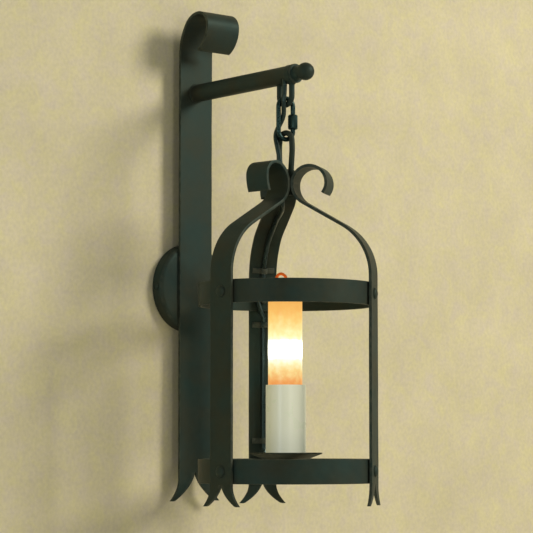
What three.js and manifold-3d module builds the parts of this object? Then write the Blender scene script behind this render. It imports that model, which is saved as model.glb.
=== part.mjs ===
// Wrought-iron wall lantern: a flat wall strap with a round cup behind it, a straight arm,
// and a three-bar lantern with an electric candle that hangs from the arm by a screw link.
// Millimetres, +Z up. The origin is the centre of the wall cup on the wall; the wall is the
// plane y = 0, the lantern stands off it towards -Y, and +X runs along the wall.

import * as THREE from 'three';
import { mergeVertices } from 'three/addons/utils/BufferGeometryUtils.js';
import Module from 'manifold-3d';

const wasm = await Module();
wasm.setup();

// Clearances and meshing
const fitGap = 0.3;
const overrun = 10;
const arcStepDegrees = 7.5;
const foldStepDegrees = 30;
const weldTolerance = 0.0001;
const tinyArea = 1e-7;

// Wall cup
const cupRadius = 47.5;
const cupDepth = 14;
const cupWall = 1.5;
const cupEdgeRadius = 5;

// Mounting bar inside the cup
const mountBarWidth = 20;
const mountBarThickness = 2;
const mountBarBend = 2.5;
const mountBarEarDepth = 9;
const wallScrewHoleRadius = 2.5;
const wallScrewSpacing = 56;

// Screws in the side of the cup
const cupScrewRadius = 2;
const cupScrewHeadRadius = 4;
const cupScrewHeadHeight = 2.6;
const cupScrewHeight = 6.2;
const cupScrewReach = 7;

// Terminal block in the cup
const blockWidth = 24;
const blockHeight = 14;
const blockDepth = 9;
const blockWellRadius = 2.2;
const blockWellDepth = 5;
const blockWellPitch = 7;

// Wall strap
const strapWidth = 45;
const strapThickness = 3;
const strapRollStart = 252.8;
const strapRollRadii = [55, 24, 14.5, 29];
const strapRollTurns = [35, 55, 90, 62];
const strapSplitHeight = -198;
const strapTipHeight = -229.5;
const strapTipReach = 34.5;
const strapTipCut = 5;

// Studs that hold the strap to the cup
const studRadius = 3;
const studHeight = 24;
const studOffset = 11;
const studLength = 11;
const studNutFlats = 10;
const studNutThickness = 4.6;

// Arm
const armHeight = 211.8;
const armRise = 1.8;
const armRadius = 9.5;
const armWall = 2;
const armOverhang = 13.7;
const armBandRadius = 10.1;
const armBandLength = 8;

// Finial on the arm
const finialCollarRadius = 10.1;
const finialCollarLength = 2.4;
const finialNeckRadius = 7.6;
const finialNeckLength = 8;
const finialBallRadius = 9.3;
const finialSpigotLength = 7;
const finialChamfer = 0.6;

// Place of the hanging line and the staple on it
const hangReach = 158.3;
const stapleWireRadius = 3;
const stapleHalfWidth = 9.2;
const stapleFall = 29.7;

// Screw link
const linkWireRadius = 2.5;
const linkHalfWidth = 8.25;
const linkLength = 43;
const linkTurn = -18;
const linkGapRise = 12.2;
const linkGapLength = 5.8;
const linkNutRise = 10.7;
const linkNutLength = 15.6;
const linkNutFlats = 9.8;
const linkNutChamfer = 1.6;
const linkSlack = 1.2;

// Crown loop in the throat of the lantern
const loopWireRadius = 3;
const loopHalfWidth = 7.6;
const loopTurn = 102;
const loopFoot = 90;
const loopBulge = 0.7;
const loopSpreadShare = 0.2;
const loopBulgeFall = 9;

// Three lantern bars
const barWidth = 30;
const barThickness = 3;
const barReach = 93;
const lanternTurn = 2.2;
const barPolar = { left: 180 + lanternTurn, rear: 60 + lanternTurn, right: 300 + lanternTurn };
const shoulderHeight = 5;
const shoulderBend = 60;
const crownTurn = 60;
const waistBend = 22;
const waistGap = 0.2;
const scrollRise = 1.2;
const scrollRadii = [18, 18, 16.6];
const scrollTurns = [125, 55, 40];
const leftScrollRadii = [22, 14.2, 13.3, 45];
const leftScrollTurns = [60, 30, 90, 22];
const barSplitHeight = -209;
const barTipHeight = -231.5;
const barTipReach = 25.5;
const barTipCut = 5;

// Rings
const ringThickness = 3;
const upperRingLow = -26;
const upperRingHeight = 24;
const lowerRingLow = -208.8;
const lowerRingHeight = 25;
const ringSides = 72;

// Rivets through the bars and the rings
const rivetShankRadius = 2.5;
const rivetHeadRadius = 6;
const rivetHeadHeight = 3;
const rivetTailRadius = 4.5;
const rivetTailHeight = 1.8;
const rivetTailChamfer = 1.3;

// Cross strut under the pan
const strutWidth = 20;
const strutThickness = 3;
const strutTop = -200;
const strutEarHeight = 12;
const strutBend = 4;

// Drip pan
const panRadius = 37.8;
const panThickness = 1.2;
const panFloorRadius = 23;
const panFloorTop = -183;
const panRimTop = panFloorTop + 5.7;

// Boss, bolt, nipple and nut that carry the pan and the lampholder
const bossRadius = 8;
const bossBore = 5.4;
const bossFloor = 4;
const bossEntryRadius = 2.9;
const bossEntryHeight = -191.5;
const boltRadius = 3;
const boltHeadFlats = 10;
const boltHeadHeight = 4;
const nippleRadius = 5;
const nippleBore = 3.5;
const nippleLow = panFloorTop - 4.8;
const nippleHigh = panFloorTop + 10;
const panNutFlats = 14;
const panNutThickness = 2.6;

// Lampholder
const holderRadius = 13.5;
const holderBaseGap = 0.3;
const holderBaseThickness = 4;
const holderTop = -124;
const holderFlangeRadius = 17.2;
const holderFlangeThickness = 2;
const holderSocketRadius = 8;
const holderSocketFloor = -152;
const holderPartition = 4;
const holderChamberRadius = 10.5;
const holderContactHole = 1.5;

// Lamp
const lampContactRadius = 3;
const lampCapRadius = 6.9;
const lampCapLength = 26;
const lampGlassRadius = 12.5;
const lampTop = -50;
const lampNeckLength = 20;

// Candle: sleeve, glow tube and wick
const sleeveRadius = 20.85;
const sleeveWall = 2;
const sleeveTop = -107.4;
const glowRadius = 17.75;
const glowWall = 2.2;
const glowTop = -6;
const glowShift = 0.7;
const candleLeanPolar = 137;
const wickRadius = 1.5;
const wickHoleDepth = 1.6;
const wickTop = 9.7;
const wickReach = 10;

// Flex: a round two-core cable, and what holds it
const flexRadius = 2.5;
const flexSides = 8;
const flexFeedSteps = 72;
const flexUpperDropSteps = 16;
const flexLowerDropSteps = 26;
const flexLowerSteps = 70;
const routeSamples = 500;
const grommetBore = 2.85;
const grommetNeck = 3.8;
const grommetFlange = 4.8;
const grommetFlangeThickness = 1.4;
const grommetDepth = 5;
const strapHoleRadius = 5.2;
const strapHoleHeight = 208.7;
const clipThickness = 1;
const clipWidth = 6;
const clipSpan = 24;
const clipFoldRadius = 1;
const clipSlack = 1.2;
const clipHeights = [18, -41, -165];

// Flex in the wall cup, behind the strap and through the arm: x, distance from the wall, height
const flexFeedRoute = [
  [0, 5.5, 7.7], [0, 5.3, 20], [0, 5, 35], [0, 5, 47], [0, 5.2, 60], [0, 6, 90], [0, 6, 130], [0, 6, 165],
  [0, 6.2, 182], [0, 7.4, 195], [0, 11.6, 204.6], [0, 18, 209.4], [0, 28, 211], [0, 45, 210.4],
  [0, 80, 210.6], [-0.5, 115, 211.4], [-1.5, 138, 212.2], [-3, 151, 213.1], [-4.5, 157.6, 212.6],
  [-5.3, 161.5, 210.6], [-5.5, 162.45, 208], [-5.5, 162.5, 205.7],
];

// Hanging flex from the arm through the link to the throat: along the link's face, behind it, height
const flexDropRoute = [
  [-3.93, -5.69, 205.4], [-4.13, -5.77, 199], [-4.65, -5.81, 193], [-4.84, -5.43, 188],
  [-4.24, -4.05, 182], [-3.07, -1.64, 176.5], [-2.95, 1.33, 171], [-4.46, 3.88, 165.6],
  [-6.85, 5.31, 160.2], [-8.57, 5.45, 155.4], [-9.35, 4.72, 150.6], [-9.12, 3.52, 145.6],
  [-8.56, 2.31, 140.5], [-7.75, 0.99, 134], [-6.81, -0.29, 126], [-5.99, -1.26, 117],
  [-5.53, -1.72, 108], [-5.47, -1.78, 101.3],
];
const flexDropSplitHeight = 168;

// Flex along the rear bar to the boss: towards the rear bar, across it, height
const flexBarRoute = [
  [-2.685, 5.087, 101], [-2.685, 5.087, 94], [-2, 4.6, 87], [1.5, 3.4, 80.5], [7.5, 2, 76], [15, 0.9, 73.5],
  [24, 0.2, 71.2], [35, 0, 67.6], [48, 0, 60.4], [60.85, 0, 52.8], [71.4, 0, 44.9], [81, 0, 32.8],
  [86.6, 0, 20], [87.2, 0.1, 14], [86.6, 1.9, 6], [85.3, 5, -1], [85, 7.5, -10], [85, 7.2, -17],
  [85.2, 4.2, -26.5], [86.4, 1.1, -32.5], [87.7, 0, -38], [88.2, 0, -44], [88.5, 0, -56], [88.6, 0, -80],
  [88.6, 0, -120], [88.6, 0, -158], [88.3, 0, -168], [86.2, 0, -178], [81, 0, -186], [72, 0, -190.6],
  [60, 0, -191.6], [40, 0, -191.5], [20, 0, -191.5], [7, 0, -191.5],
];

// Finishes
const iron = { color: 0x24261f, roughness: 0.55, metalness: 0.35 };
const zinc = { color: 0x9a9a92, roughness: 0.4, metalness: 0.8 };
const linkSteel = { color: 0x1e2624, roughness: 0.4, metalness: 0.5 };
const cream = { color: 0xcfcfb6, roughness: 0.5, metalness: 0 };
const glow = { color: 0xf8cf84, roughness: 0.45, metalness: 0 };
const wickOrange = { color: 0xd56a1c, roughness: 0.6, metalness: 0 };
const opalGlass = { color: 0xf3efe2, roughness: 0.2, metalness: 0 };
const blackPlastic = { color: 0x161616, roughness: 0.5, metalness: 0 };
const whitePlastic = { color: 0xdcdcd4, roughness: 0.5, metalness: 0 };
const cableSheath = { color: 0x15211f, roughness: 0.45, metalness: 0 };

// Small helpers

const radians = (degrees) => THREE.MathUtils.degToRad(degrees);

function polar(degrees, length, height = 0) {
  const angle = radians(degrees);
  return new THREE.Vector3(Math.cos(angle) * length, Math.sin(angle) * length, height);
}

function closed(geometry) {
  geometry.deleteAttribute('normal');
  geometry.deleteAttribute('uv');
  const merged = mergeVertices(geometry, weldTolerance);
  const position = merged.getAttribute('position');
  const index = merged.getIndex().array;
  const kept = [];
  const corners = [new THREE.Vector3(), new THREE.Vector3(), new THREE.Vector3()];
  for (let face = 0; face < index.length; face += 3) {
    corners.forEach((corner, k) => corner.fromBufferAttribute(position, index[face + k]));
    const area = new THREE.Triangle(...corners).getArea();
    if (area > tinyArea) {
      kept.push(index[face], index[face + 1], index[face + 2]);
    }
  }
  merged.setIndex(kept);
  return merged;
}

function toSolid(geometry) {
  const merged = closed(geometry);
  return new wasm.Manifold(new wasm.Mesh({
    numProp: 3,
    vertProperties: new Float32Array(merged.getAttribute('position').array),
    triVerts: new Uint32Array(merged.getIndex().array),
  }));
}

function toGeometry(solid) {
  const mesh = solid.getMesh();
  const geometry = new THREE.BufferGeometry();
  geometry.setAttribute('position', new THREE.BufferAttribute(new Float32Array(mesh.vertProperties), 3));
  geometry.setIndex(new THREE.BufferAttribute(new Uint32Array(mesh.triVerts), 1));
  return geometry;
}

function cut(base, ...tools) {
  let solid = toSolid(base);
  tools.forEach((tool) => {
    solid = solid.subtract(toSolid(tool));
  });
  return toGeometry(solid);
}

function join(...pieces) {
  let solid = toSolid(pieces[0]);
  pieces.slice(1).forEach((piece) => {
    solid = solid.add(toSolid(piece));
  });
  return toGeometry(solid);
}

function common(first, second) {
  return toGeometry(toSolid(first).intersect(toSolid(second)));
}

// A turned body about +Z from a closed outline of [radius, height] points
function turned(outline, sides) {
  const points = outline.map(([radius, height]) => new THREE.Vector2(Math.max(radius, 0), height));
  if (THREE.ShapeUtils.area(points) < 0) {
    points.reverse();
  }
  points.push(points[0].clone());
  return new THREE.LatheGeometry(points, sides).rotateX(radians(90));
}

// A round bar along +Z between two heights
function rod(radius, low, high, sides = 16) {
  return turned([[0, low], [radius, low], [radius, high], [0, high]], sides);
}

function arcPoints(centreX, centreY, radius, fromDegrees, toDegrees, steps) {
  const points = [];
  for (let k = 0; k <= steps; k += 1) {
    const angle = radians(THREE.MathUtils.lerp(fromDegrees, toDegrees, k / steps));
    points.push([centreX + radius * Math.cos(angle), centreY + radius * Math.sin(angle)]);
  }
  return points;
}

function hexagon(flats, low, high, holeRadius = 0) {
  const corners = arcPoints(0, 0, flats / Math.sqrt(3), 0, 300, 5);
  const shape = new THREE.Shape(corners.map(([x, y]) => new THREE.Vector2(x, y)));
  if (holeRadius > 0) {
    shape.holes.push(new THREE.Path().absarc(0, 0, holeRadius, 0, radians(360), true));
  }
  const depth = high - low;
  const geometry = new THREE.ExtrudeGeometry(shape, { depth, bevelEnabled: false, curveSegments: 8 });
  return geometry.translate(0, 0, low);
}

// A tube along a smooth curve through points, with flat ends
function tube(points, radius, sides, steps) {
  const curve = new THREE.CatmullRomCurve3(points, false, 'centripetal');
  const section = new THREE.Shape(arcPoints(0, 0, radius, 0, 360 - 360 / sides, sides - 1)
    .map(([x, y]) => new THREE.Vector2(x, y)));
  return new THREE.ExtrudeGeometry(section, { steps, bevelEnabled: false, extrudePath: curve });
}

// The middle line of a bent strip: straight runs, and bends to the left (+) or right (-)
function bent(startX, startY, headingDegrees, moves, stepDegrees = arcStepDegrees) {
  let x = startX;
  let y = startY;
  let heading = headingDegrees;
  const line = [{ x, y, heading }];
  moves.forEach(({ run = 0, radius = 0, turn = 0 }) => {
    if (run > 0) {
      x += run * Math.cos(radians(heading));
      y += run * Math.sin(radians(heading));
      line.push({ x, y, heading });
    }
    const steps = Math.ceil(Math.abs(turn) / stepDegrees);
    const side = Math.sign(turn);
    const centreX = x - side * radius * Math.sin(radians(heading));
    const centreY = y + side * radius * Math.cos(radians(heading));
    for (let k = 1; k <= steps; k += 1) {
      const angle = heading + (turn * k) / steps;
      x = centreX + side * radius * Math.sin(radians(angle));
      y = centreY - side * radius * Math.cos(radians(angle));
      line.push({ x, y, heading: angle });
    }
    heading += turn;
  });
  return line;
}

// A flat strip bent on its middle line: the line lies in X and Z, the width along Y
function strip(line, thickness, width) {
  const offset = (side) => line.map(({ x, y, heading }) => new THREE.Vector2(
    x - (side * thickness / 2) * Math.sin(radians(heading)),
    y + (side * thickness / 2) * Math.cos(radians(heading)),
  ));
  const shape = new THREE.Shape([...offset(-1), ...offset(1).reverse()]);
  const geometry = new THREE.ExtrudeGeometry(shape, { depth: width, bevelEnabled: false });
  return geometry.translate(0, 0, -width / 2).rotateX(radians(90));
}

// The face of a strip that is split at its foot into two tines that curve outwards.
// It lies in Y and Z and is pushed along X from 0 to depth.
function fishtail(width, top, split, tipHeight, tipReach, tipCut, depth) {
  const flareShare = 1.9;
  const bowAcrossShare = 0.17;
  const bowDownShare = 0.55;
  const half = width / 2;
  const flareStart = tipHeight + (tipReach - half) * flareShare;
  const inner = tipReach - tipCut;
  const drop = split - tipHeight;
  const shape = new THREE.Shape();
  shape.moveTo(-half, top);
  shape.lineTo(-half, flareStart);
  shape.quadraticCurveTo(-half, tipHeight + (tipReach - half), -tipReach, tipHeight);
  shape.lineTo(-inner, tipHeight);
  shape.quadraticCurveTo(-inner * bowAcrossShare, split - drop * bowDownShare, 0, split);
  shape.quadraticCurveTo(inner * bowAcrossShare, split - drop * bowDownShare, inner, tipHeight);
  shape.lineTo(tipReach, tipHeight);
  shape.quadraticCurveTo(half, tipHeight + (tipReach - half), half, flareStart);
  shape.lineTo(half, top);
  const geometry = new THREE.ExtrudeGeometry(shape, { depth, bevelEnabled: false, curveSegments: 7 });
  const turn = new THREE.Matrix4().makeBasis(
    new THREE.Vector3(0, 1, 0),
    new THREE.Vector3(0, 0, 1),
    new THREE.Vector3(1, 0, 0),
  );
  return geometry.applyMatrix4(turn);
}

function piece(name, geometry, finish, parent) {
  const mesh = new THREE.Mesh(closed(geometry), new THREE.MeshStandardMaterial(finish));
  mesh.name = name;
  parent.add(mesh);
  return mesh;
}

const lantern = new THREE.Group();
const hangingLine = new THREE.Group();
hangingLine.position.set(0, -hangReach, 0);
lantern.add(hangingLine);

// Wall cup: an open-backed dish, its face towards -Y
const cupFace = cupDepth - cupWall;
const cupInner = cupRadius - cupWall;

function wallCup() {
  const edgeRing = cupRadius - cupEdgeRadius;
  const edgeDepth = cupDepth - cupEdgeRadius;
  const dish = turned([
    [cupRadius, 0], ...arcPoints(edgeRing, edgeDepth, cupEdgeRadius, 0, 90, 3), [0, cupDepth],
    [0, cupFace], ...arcPoints(edgeRing, edgeDepth, cupEdgeRadius - cupWall, 90, 0, 3), [cupInner, 0],
  ], 48).rotateX(radians(90));
  const studHole = (sign) => rod(studRadius + fitGap, -overrun, cupDepth + overrun)
    .rotateX(radians(90)).translate(sign * studOffset, 0, sign * studHeight);
  const screwHole = (side) => rod(cupScrewRadius + fitGap, 0, overrun)
    .rotateY(radians(90 * side)).translate(side * (cupInner - cupWall), -cupScrewHeight, 0);
  const flexHole = rod(grommetNeck + fitGap, cupInner - overrun, cupRadius + overrun)
    .translate(0, -grommetDepth, 0);
  return cut(dish, studHole(1), studHole(-1), screwHole(1), screwHole(-1), flexHole);
}
piece('wall_cup', wallCup(), iron, lantern);

// Mounting bar: a strip against the wall, its two ears bent forward inside the cup
const earReach = Math.sqrt(cupInner ** 2 - (mountBarWidth / 2) ** 2) - fitGap;

function mountingBar() {
  const backRun = 2 * (earReach - mountBarThickness / 2 - mountBarBend);
  const earRun = mountBarEarDepth - mountBarThickness / 2 - mountBarBend;
  const line = bent(-earReach + mountBarThickness / 2, mountBarEarDepth, -90, [
    { run: earRun }, { radius: mountBarBend, turn: 90 }, { run: backRun },
    { radius: mountBarBend, turn: 90 }, { run: earRun },
  ], foldStepDegrees);
  const plate = strip(line, mountBarThickness, mountBarWidth).rotateX(radians(90));
  const wallHole = (side) => rod(wallScrewHoleRadius, -overrun, overrun)
    .rotateX(radians(90)).translate((side * wallScrewSpacing) / 2, 0, 0);
  const earHole = (side) => rod(cupScrewRadius + fitGap, 0, 2 * overrun)
    .rotateY(radians(90 * side)).translate(side * (earReach - overrun), -cupScrewHeight, 0);
  return cut(plate, wallHole(1), wallHole(-1), earHole(1), earHole(-1));
}
piece('mounting_bar', mountingBar(), zinc, lantern);

// Side screws: a domed head outside the cup, the shank through the cup into the bar's ear
function domedScrew(shankRadius, headRadius, headHeight, shankLength) {
  const domeRadius = (headRadius ** 2 + headHeight ** 2) / (2 * headHeight);
  const rimAngle = THREE.MathUtils.radToDeg(Math.asin((domeRadius - headHeight) / domeRadius));
  const dome = arcPoints(0, headHeight - domeRadius, domeRadius, rimAngle, 90, 3);
  return turned([[0, -shankLength], [shankRadius, -shankLength], [shankRadius, 0], ...dome], 12);
}
[['right', 1], ['left', -1]].forEach(([side, sign]) => {
  const screw = domedScrew(cupScrewRadius, cupScrewHeadRadius, cupScrewHeadHeight, cupScrewReach);
  const mesh = piece(`cup_screw_${side}`, screw, iron, lantern);
  mesh.rotation.y = radians(90 * sign);
  mesh.position.set(sign * (cupRadius + fitGap), -cupScrewHeight, 0);
});

// Terminal block on the mounting bar, with its screw wells open to the front
function terminalBlock() {
  const back = mountBarThickness + fitGap;
  const body = new THREE.BoxGeometry(blockWidth, blockDepth, blockHeight)
    .translate(0, -back - blockDepth / 2, 0);
  const wells = [-1, 0, 1].map((place) => rod(blockWellRadius, 0, blockWellDepth + overrun, 12)
    .rotateX(radians(90)).translate(place * blockWellPitch, -back - blockDepth + blockWellDepth, 0));
  return cut(body, ...wells);
}
piece('terminal_block', terminalBlock(), whitePlastic, lantern);

// Wall strap: split foot, long straight back, top rolled forward
const strapFront = cupDepth + strapThickness;

function wallStrap() {
  const line = bent(cupDepth + strapThickness / 2, strapTipHeight - overrun, 90, [
    { run: strapRollStart - strapTipHeight + overrun },
    ...strapRollRadii.map((radius, k) => ({ radius, turn: -strapRollTurns[k] })),
  ]);
  const blank = strip(line, strapThickness, 2 * strapTipReach);
  const rollDepth = cupDepth + strapRollRadii.reduce((sum, radius) => sum + radius, 0);
  const face = fishtail(strapWidth, strapRollStart + rollDepth, strapSplitHeight, strapTipHeight,
    strapTipReach, strapTipCut, rollDepth);
  const flexHole = rod(strapHoleRadius, 0, strapFront + overrun)
    .rotateY(radians(90)).translate(0, 0, strapHoleHeight);
  return cut(common(blank, face), flexHole).rotateZ(radians(-90));
}
piece('wall_strap', wallStrap(), iron, lantern);

// Studs welded to the back of the strap, and their nuts inside the cup
[['upper', 1], ['lower', -1]].forEach(([place, sign]) => {
  const stud = rod(studRadius, cupDepth - studLength, cupDepth).rotateX(radians(90));
  piece(`strap_stud_${place}`, stud, zinc, lantern).position.set(sign * studOffset, 0, sign * studHeight);
  const nutFront = cupFace - fitGap;
  const nut = hexagon(studNutFlats, nutFront - studNutThickness, nutFront, studRadius + fitGap);
  const turnedNut = piece(`stud_nut_${place}`, nut, zinc, lantern);
  turnedNut.rotation.x = radians(90);
  turnedNut.position.set(sign * studOffset, 0, sign * studHeight);
});

// Grommet in the top of the cup, where the flex leaves it
function grommet() {
  const innerTop = Math.sqrt(cupInner ** 2 - grommetFlange ** 2) - fitGap;
  const outerLow = cupRadius + fitGap;
  return turned([
    [grommetBore, innerTop - grommetFlangeThickness], [grommetFlange, innerTop - grommetFlangeThickness],
    [grommetFlange, innerTop], [grommetNeck, innerTop], [grommetNeck, outerLow], [grommetFlange, outerLow],
    [grommetFlange, outerLow + grommetFlangeThickness], [grommetBore, outerLow + grommetFlangeThickness],
  ], 16);
}
piece('cable_grommet', grommet(), blackPlastic, lantern).position.y = -grommetDepth;

// Flex routes as points in space
const feedPoints = flexFeedRoute.map(([x, reach, height]) => new THREE.Vector3(x, -reach, height));
const linkAlong = polar(linkTurn, 1);
const linkBehind = polar(linkTurn + 90, 1);
const dropPoints = flexDropRoute.map(([along, behind, height]) => new THREE.Vector3(0, 0, height)
  .addScaledVector(linkAlong, along).addScaledVector(linkBehind, behind));
const barAlong = polar(barPolar.rear, 1);
const barAcross = polar(barPolar.rear + 90, 1);
const barPoints = flexBarRoute.map(([along, across, height]) => new THREE.Vector3(0, 0, height)
  .addScaledVector(barAlong, along).addScaledVector(barAcross, across));

// The points of a route's curve that lie between two heights
function stretch(points, high, low) {
  const curve = new THREE.CatmullRomCurve3(points, false, 'centripetal');
  return curve.getSpacedPoints(routeSamples).filter(({ z }) => z <= high && z >= low);
}

const dropTop = dropPoints[0].z;
const dropFoot = dropPoints[dropPoints.length - 1].z;
const upperDrop = stretch(dropPoints, dropTop, flexDropSplitHeight + fitGap / 2);
const lowerDrop = stretch(dropPoints, flexDropSplitHeight - fitGap / 2, dropFoot);

piece('flex_feed', tube(feedPoints, flexRadius, flexSides, flexFeedSteps), cableSheath, lantern);
[['flex_upper_drop', upperDrop, flexUpperDropSteps], ['flex_lower_drop', lowerDrop, flexLowerDropSteps],
  ['flex_lower', barPoints, flexLowerSteps]].forEach(([name, points, steps]) => {
  piece(name, tube(points, flexRadius, flexSides, steps), cableSheath, hangingLine);
});

// Arm: a tube that leaves the strap's face and rises a little, open below where the flex leaves it
const armEnd = hangReach + armOverhang;
const armAxis = (reach) => armHeight + (reach - strapFront) * Math.tan(radians(armRise));
const armLine = (geometry) => geometry.rotateX(radians(90 - armRise)).translate(0, -strapFront, armHeight);
const armLength = (armEnd - strapFront) / Math.cos(radians(armRise));
const armBandStart = armLength - armBandLength;

function armTube() {
  const bore = armRadius - armWall;
  const blank = turned([
    [bore, -overrun], [armRadius, -overrun], [armRadius, armBandStart], [armBandRadius, armBandStart],
    [armBandRadius, armLength], [bore, armLength],
  ], 24);
  const blockSide = 2 * (armRadius + overrun);
  const wallSide = new THREE.BoxGeometry(blockSide, 2 * overrun, blockSide)
    .translate(0, -strapFront + overrun, armHeight);
  const flexWay = tube(feedPoints, flexRadius + fitGap, flexSides, flexFeedSteps);
  return cut(armLine(blank), wallSide, flexWay);
}
piece('arm_tube', armTube(), iron, lantern);

// Finial: a spigot in the arm, a collar, a neck and a ball
function finial() {
  const spigot = armRadius - armWall - fitGap;
  const neckTop = finialCollarLength + finialNeckLength;
  const seatAngle = THREE.MathUtils.radToDeg(Math.acos(finialNeckRadius / finialBallRadius));
  const ballCentre = neckTop + finialBallRadius * Math.sin(radians(seatAngle));
  const ball = arcPoints(0, ballCentre, finialBallRadius, -seatAngle, 90, 8);
  return turned([
    [0, -finialSpigotLength], [spigot, -finialSpigotLength], [spigot, 0], [finialCollarRadius, 0],
    [finialCollarRadius, finialCollarLength - finialChamfer],
    [finialCollarRadius - finialChamfer, finialCollarLength], [finialNeckRadius, finialCollarLength], ...ball,
  ], 20).translate(0, 0, armLength + fitGap);
}
piece('arm_finial', armLine(finial()), iron, lantern);

// Staple: a U of wire under the arm, its legs cut to the arm's underside
const stapleMiddle = armHeight - stapleFall + stapleWireRadius;

function staple() {
  const archCentre = stapleMiddle + stapleHalfWidth;
  const legTop = armAxis(hangReach);
  const arch = arcPoints(0, archCentre, stapleHalfWidth, 180, 360, 12);
  const path = [[-stapleHalfWidth, legTop], [-stapleHalfWidth, (legTop + archCentre) / 2], ...arch,
    [stapleHalfWidth, (legTop + archCentre) / 2], [stapleHalfWidth, legTop]];
  const wire = tube(path.map(([y, z]) => new THREE.Vector3(0, y, z)), stapleWireRadius, 10, 24);
  const seat = rod(armRadius + fitGap, 0, armLength, 32);
  const bandSeat = rod(armBandRadius + fitGap, armBandStart - fitGap, armLength, 32);
  return cut(wire, ...[seat, bandSeat].map((tool) => armLine(tool).translate(0, hangReach, 0)));
}
piece('arm_staple', staple(), iron, hangingLine);

// Screw link: an oval of wire with a gap on one side, closed by a sleeve nut
const linkTop = stapleMiddle + stapleWireRadius + linkSlack + linkWireRadius;
const linkFoot = linkTop - linkLength;
const linkGroup = new THREE.Group();
linkGroup.rotation.z = radians(linkTurn);
hangingLine.add(linkGroup);

function screwLink() {
  const upper = linkTop - linkHalfWidth;
  const lower = linkFoot + linkHalfWidth;
  const gapLow = linkFoot + linkGapRise;
  const gapHigh = gapLow + linkGapLength;
  const path = [[linkHalfWidth, gapHigh], [linkHalfWidth, (gapHigh + upper) / 2],
    ...arcPoints(0, upper, linkHalfWidth, 0, 180, 12), [-linkHalfWidth, (upper + lower) / 2],
    ...arcPoints(0, lower, linkHalfWidth, 180, 360, 12), [linkHalfWidth, gapLow]];
  return tube(path.map(([x, z]) => new THREE.Vector3(x, 0, z)), linkWireRadius, 10, 46);
}
piece('quick_link', screwLink(), linkSteel, linkGroup);

function sleeveNut() {
  const low = linkFoot + linkNutRise;
  const top = low + linkNutLength;
  const corner = linkNutFlats / Math.sqrt(3);
  const envelope = turned([
    [0, low], [corner - linkNutChamfer, low], [corner, low + linkNutChamfer],
    [corner, top - linkNutChamfer], [corner - linkNutChamfer, top], [0, top],
  ], 18);
  const bore = rod(linkWireRadius + fitGap, low - overrun, top + overrun);
  return cut(common(hexagon(linkNutFlats, low, top), envelope), bore);
}
piece('quick_link_nut', sleeveNut(), linkSteel, linkGroup).position.x = linkHalfWidth;

// Bars: a straight foot, a shoulder, a slope to the waist and a scroll turned outwards
const throatReach = barWidth / (2 * Math.tan(radians(60))) + waistGap + barThickness / 2;
const crownBends = (shoulderBend + waistBend) * (1 - Math.cos(radians(crownTurn)));
const slopeLength = (barReach - throatReach - crownBends) / Math.sin(radians(crownTurn));
const barInnerFace = barReach - barThickness / 2;
const barOuterFace = barReach + barThickness / 2;
const barLine = (radii, turns) => bent(barReach, barTipHeight - overrun, 90, [
  { run: shoulderHeight - barTipHeight + overrun },
  { radius: shoulderBend, turn: crownTurn },
  { run: slopeLength },
  { radius: waistBend, turn: -crownTurn },
  { run: scrollRise },
  ...radii.map((radius, k) => ({ radius, turn: -turns[k] })),
]);
const waistHeight = shoulderHeight + (shoulderBend + waistBend) * Math.sin(radians(crownTurn))
  + slopeLength * Math.cos(radians(crownTurn));
const upperRivetHeight = upperRingLow + upperRingHeight / 2;
const lowerRivetHeight = lowerRingLow + lowerRingHeight / 2;

// The left bar's scroll is curled tighter than the other two, as forged by hand
function lanternBar(place) {
  const radii = place === 'left' ? leftScrollRadii : scrollRadii;
  const turns = place === 'left' ? leftScrollTurns : scrollTurns;
  const blank = strip(barLine(radii, turns), barThickness, 2 * barTipReach);
  const crownTop = waistHeight + scrollRise + radii[0] + barThickness + overrun;
  const face = fishtail(barWidth, crownTop, barSplitHeight, barTipHeight, barTipReach, barTipCut,
    2 * barReach);
  const hole = (height) => rod(rivetShankRadius + fitGap, 0, 2 * overrun)
    .rotateY(radians(90)).translate(barReach - overrun, 0, height);
  return cut(common(blank, face), hole(upperRivetHeight), hole(lowerRivetHeight));
}
Object.entries(barPolar).forEach(([place, degrees]) => {
  piece(`bar_${place}`, lanternBar(place), iron, hangingLine).rotation.z = radians(degrees);
});

// Rings inside the bars, drilled for the rivets
const ringOuter = barInnerFace - fitGap;
const ringInner = ringOuter - ringThickness;

function ring(low, height, rivetHeight) {
  const band = turned([
    [ringInner, low], [ringOuter, low], [ringOuter, low + height], [ringInner, low + height],
  ], ringSides);
  const holes = Object.values(barPolar).map((degrees) => rod(rivetShankRadius + fitGap, 0, 2 * overrun)
    .rotateY(radians(90)).translate(ringInner - overrun, 0, rivetHeight).rotateZ(radians(degrees)));
  return cut(band, ...holes);
}
piece('upper_ring', ring(upperRingLow, upperRingHeight, upperRivetHeight), iron, hangingLine);
piece('lower_ring', ring(lowerRingLow, lowerRingHeight, lowerRivetHeight), iron, hangingLine);

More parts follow.
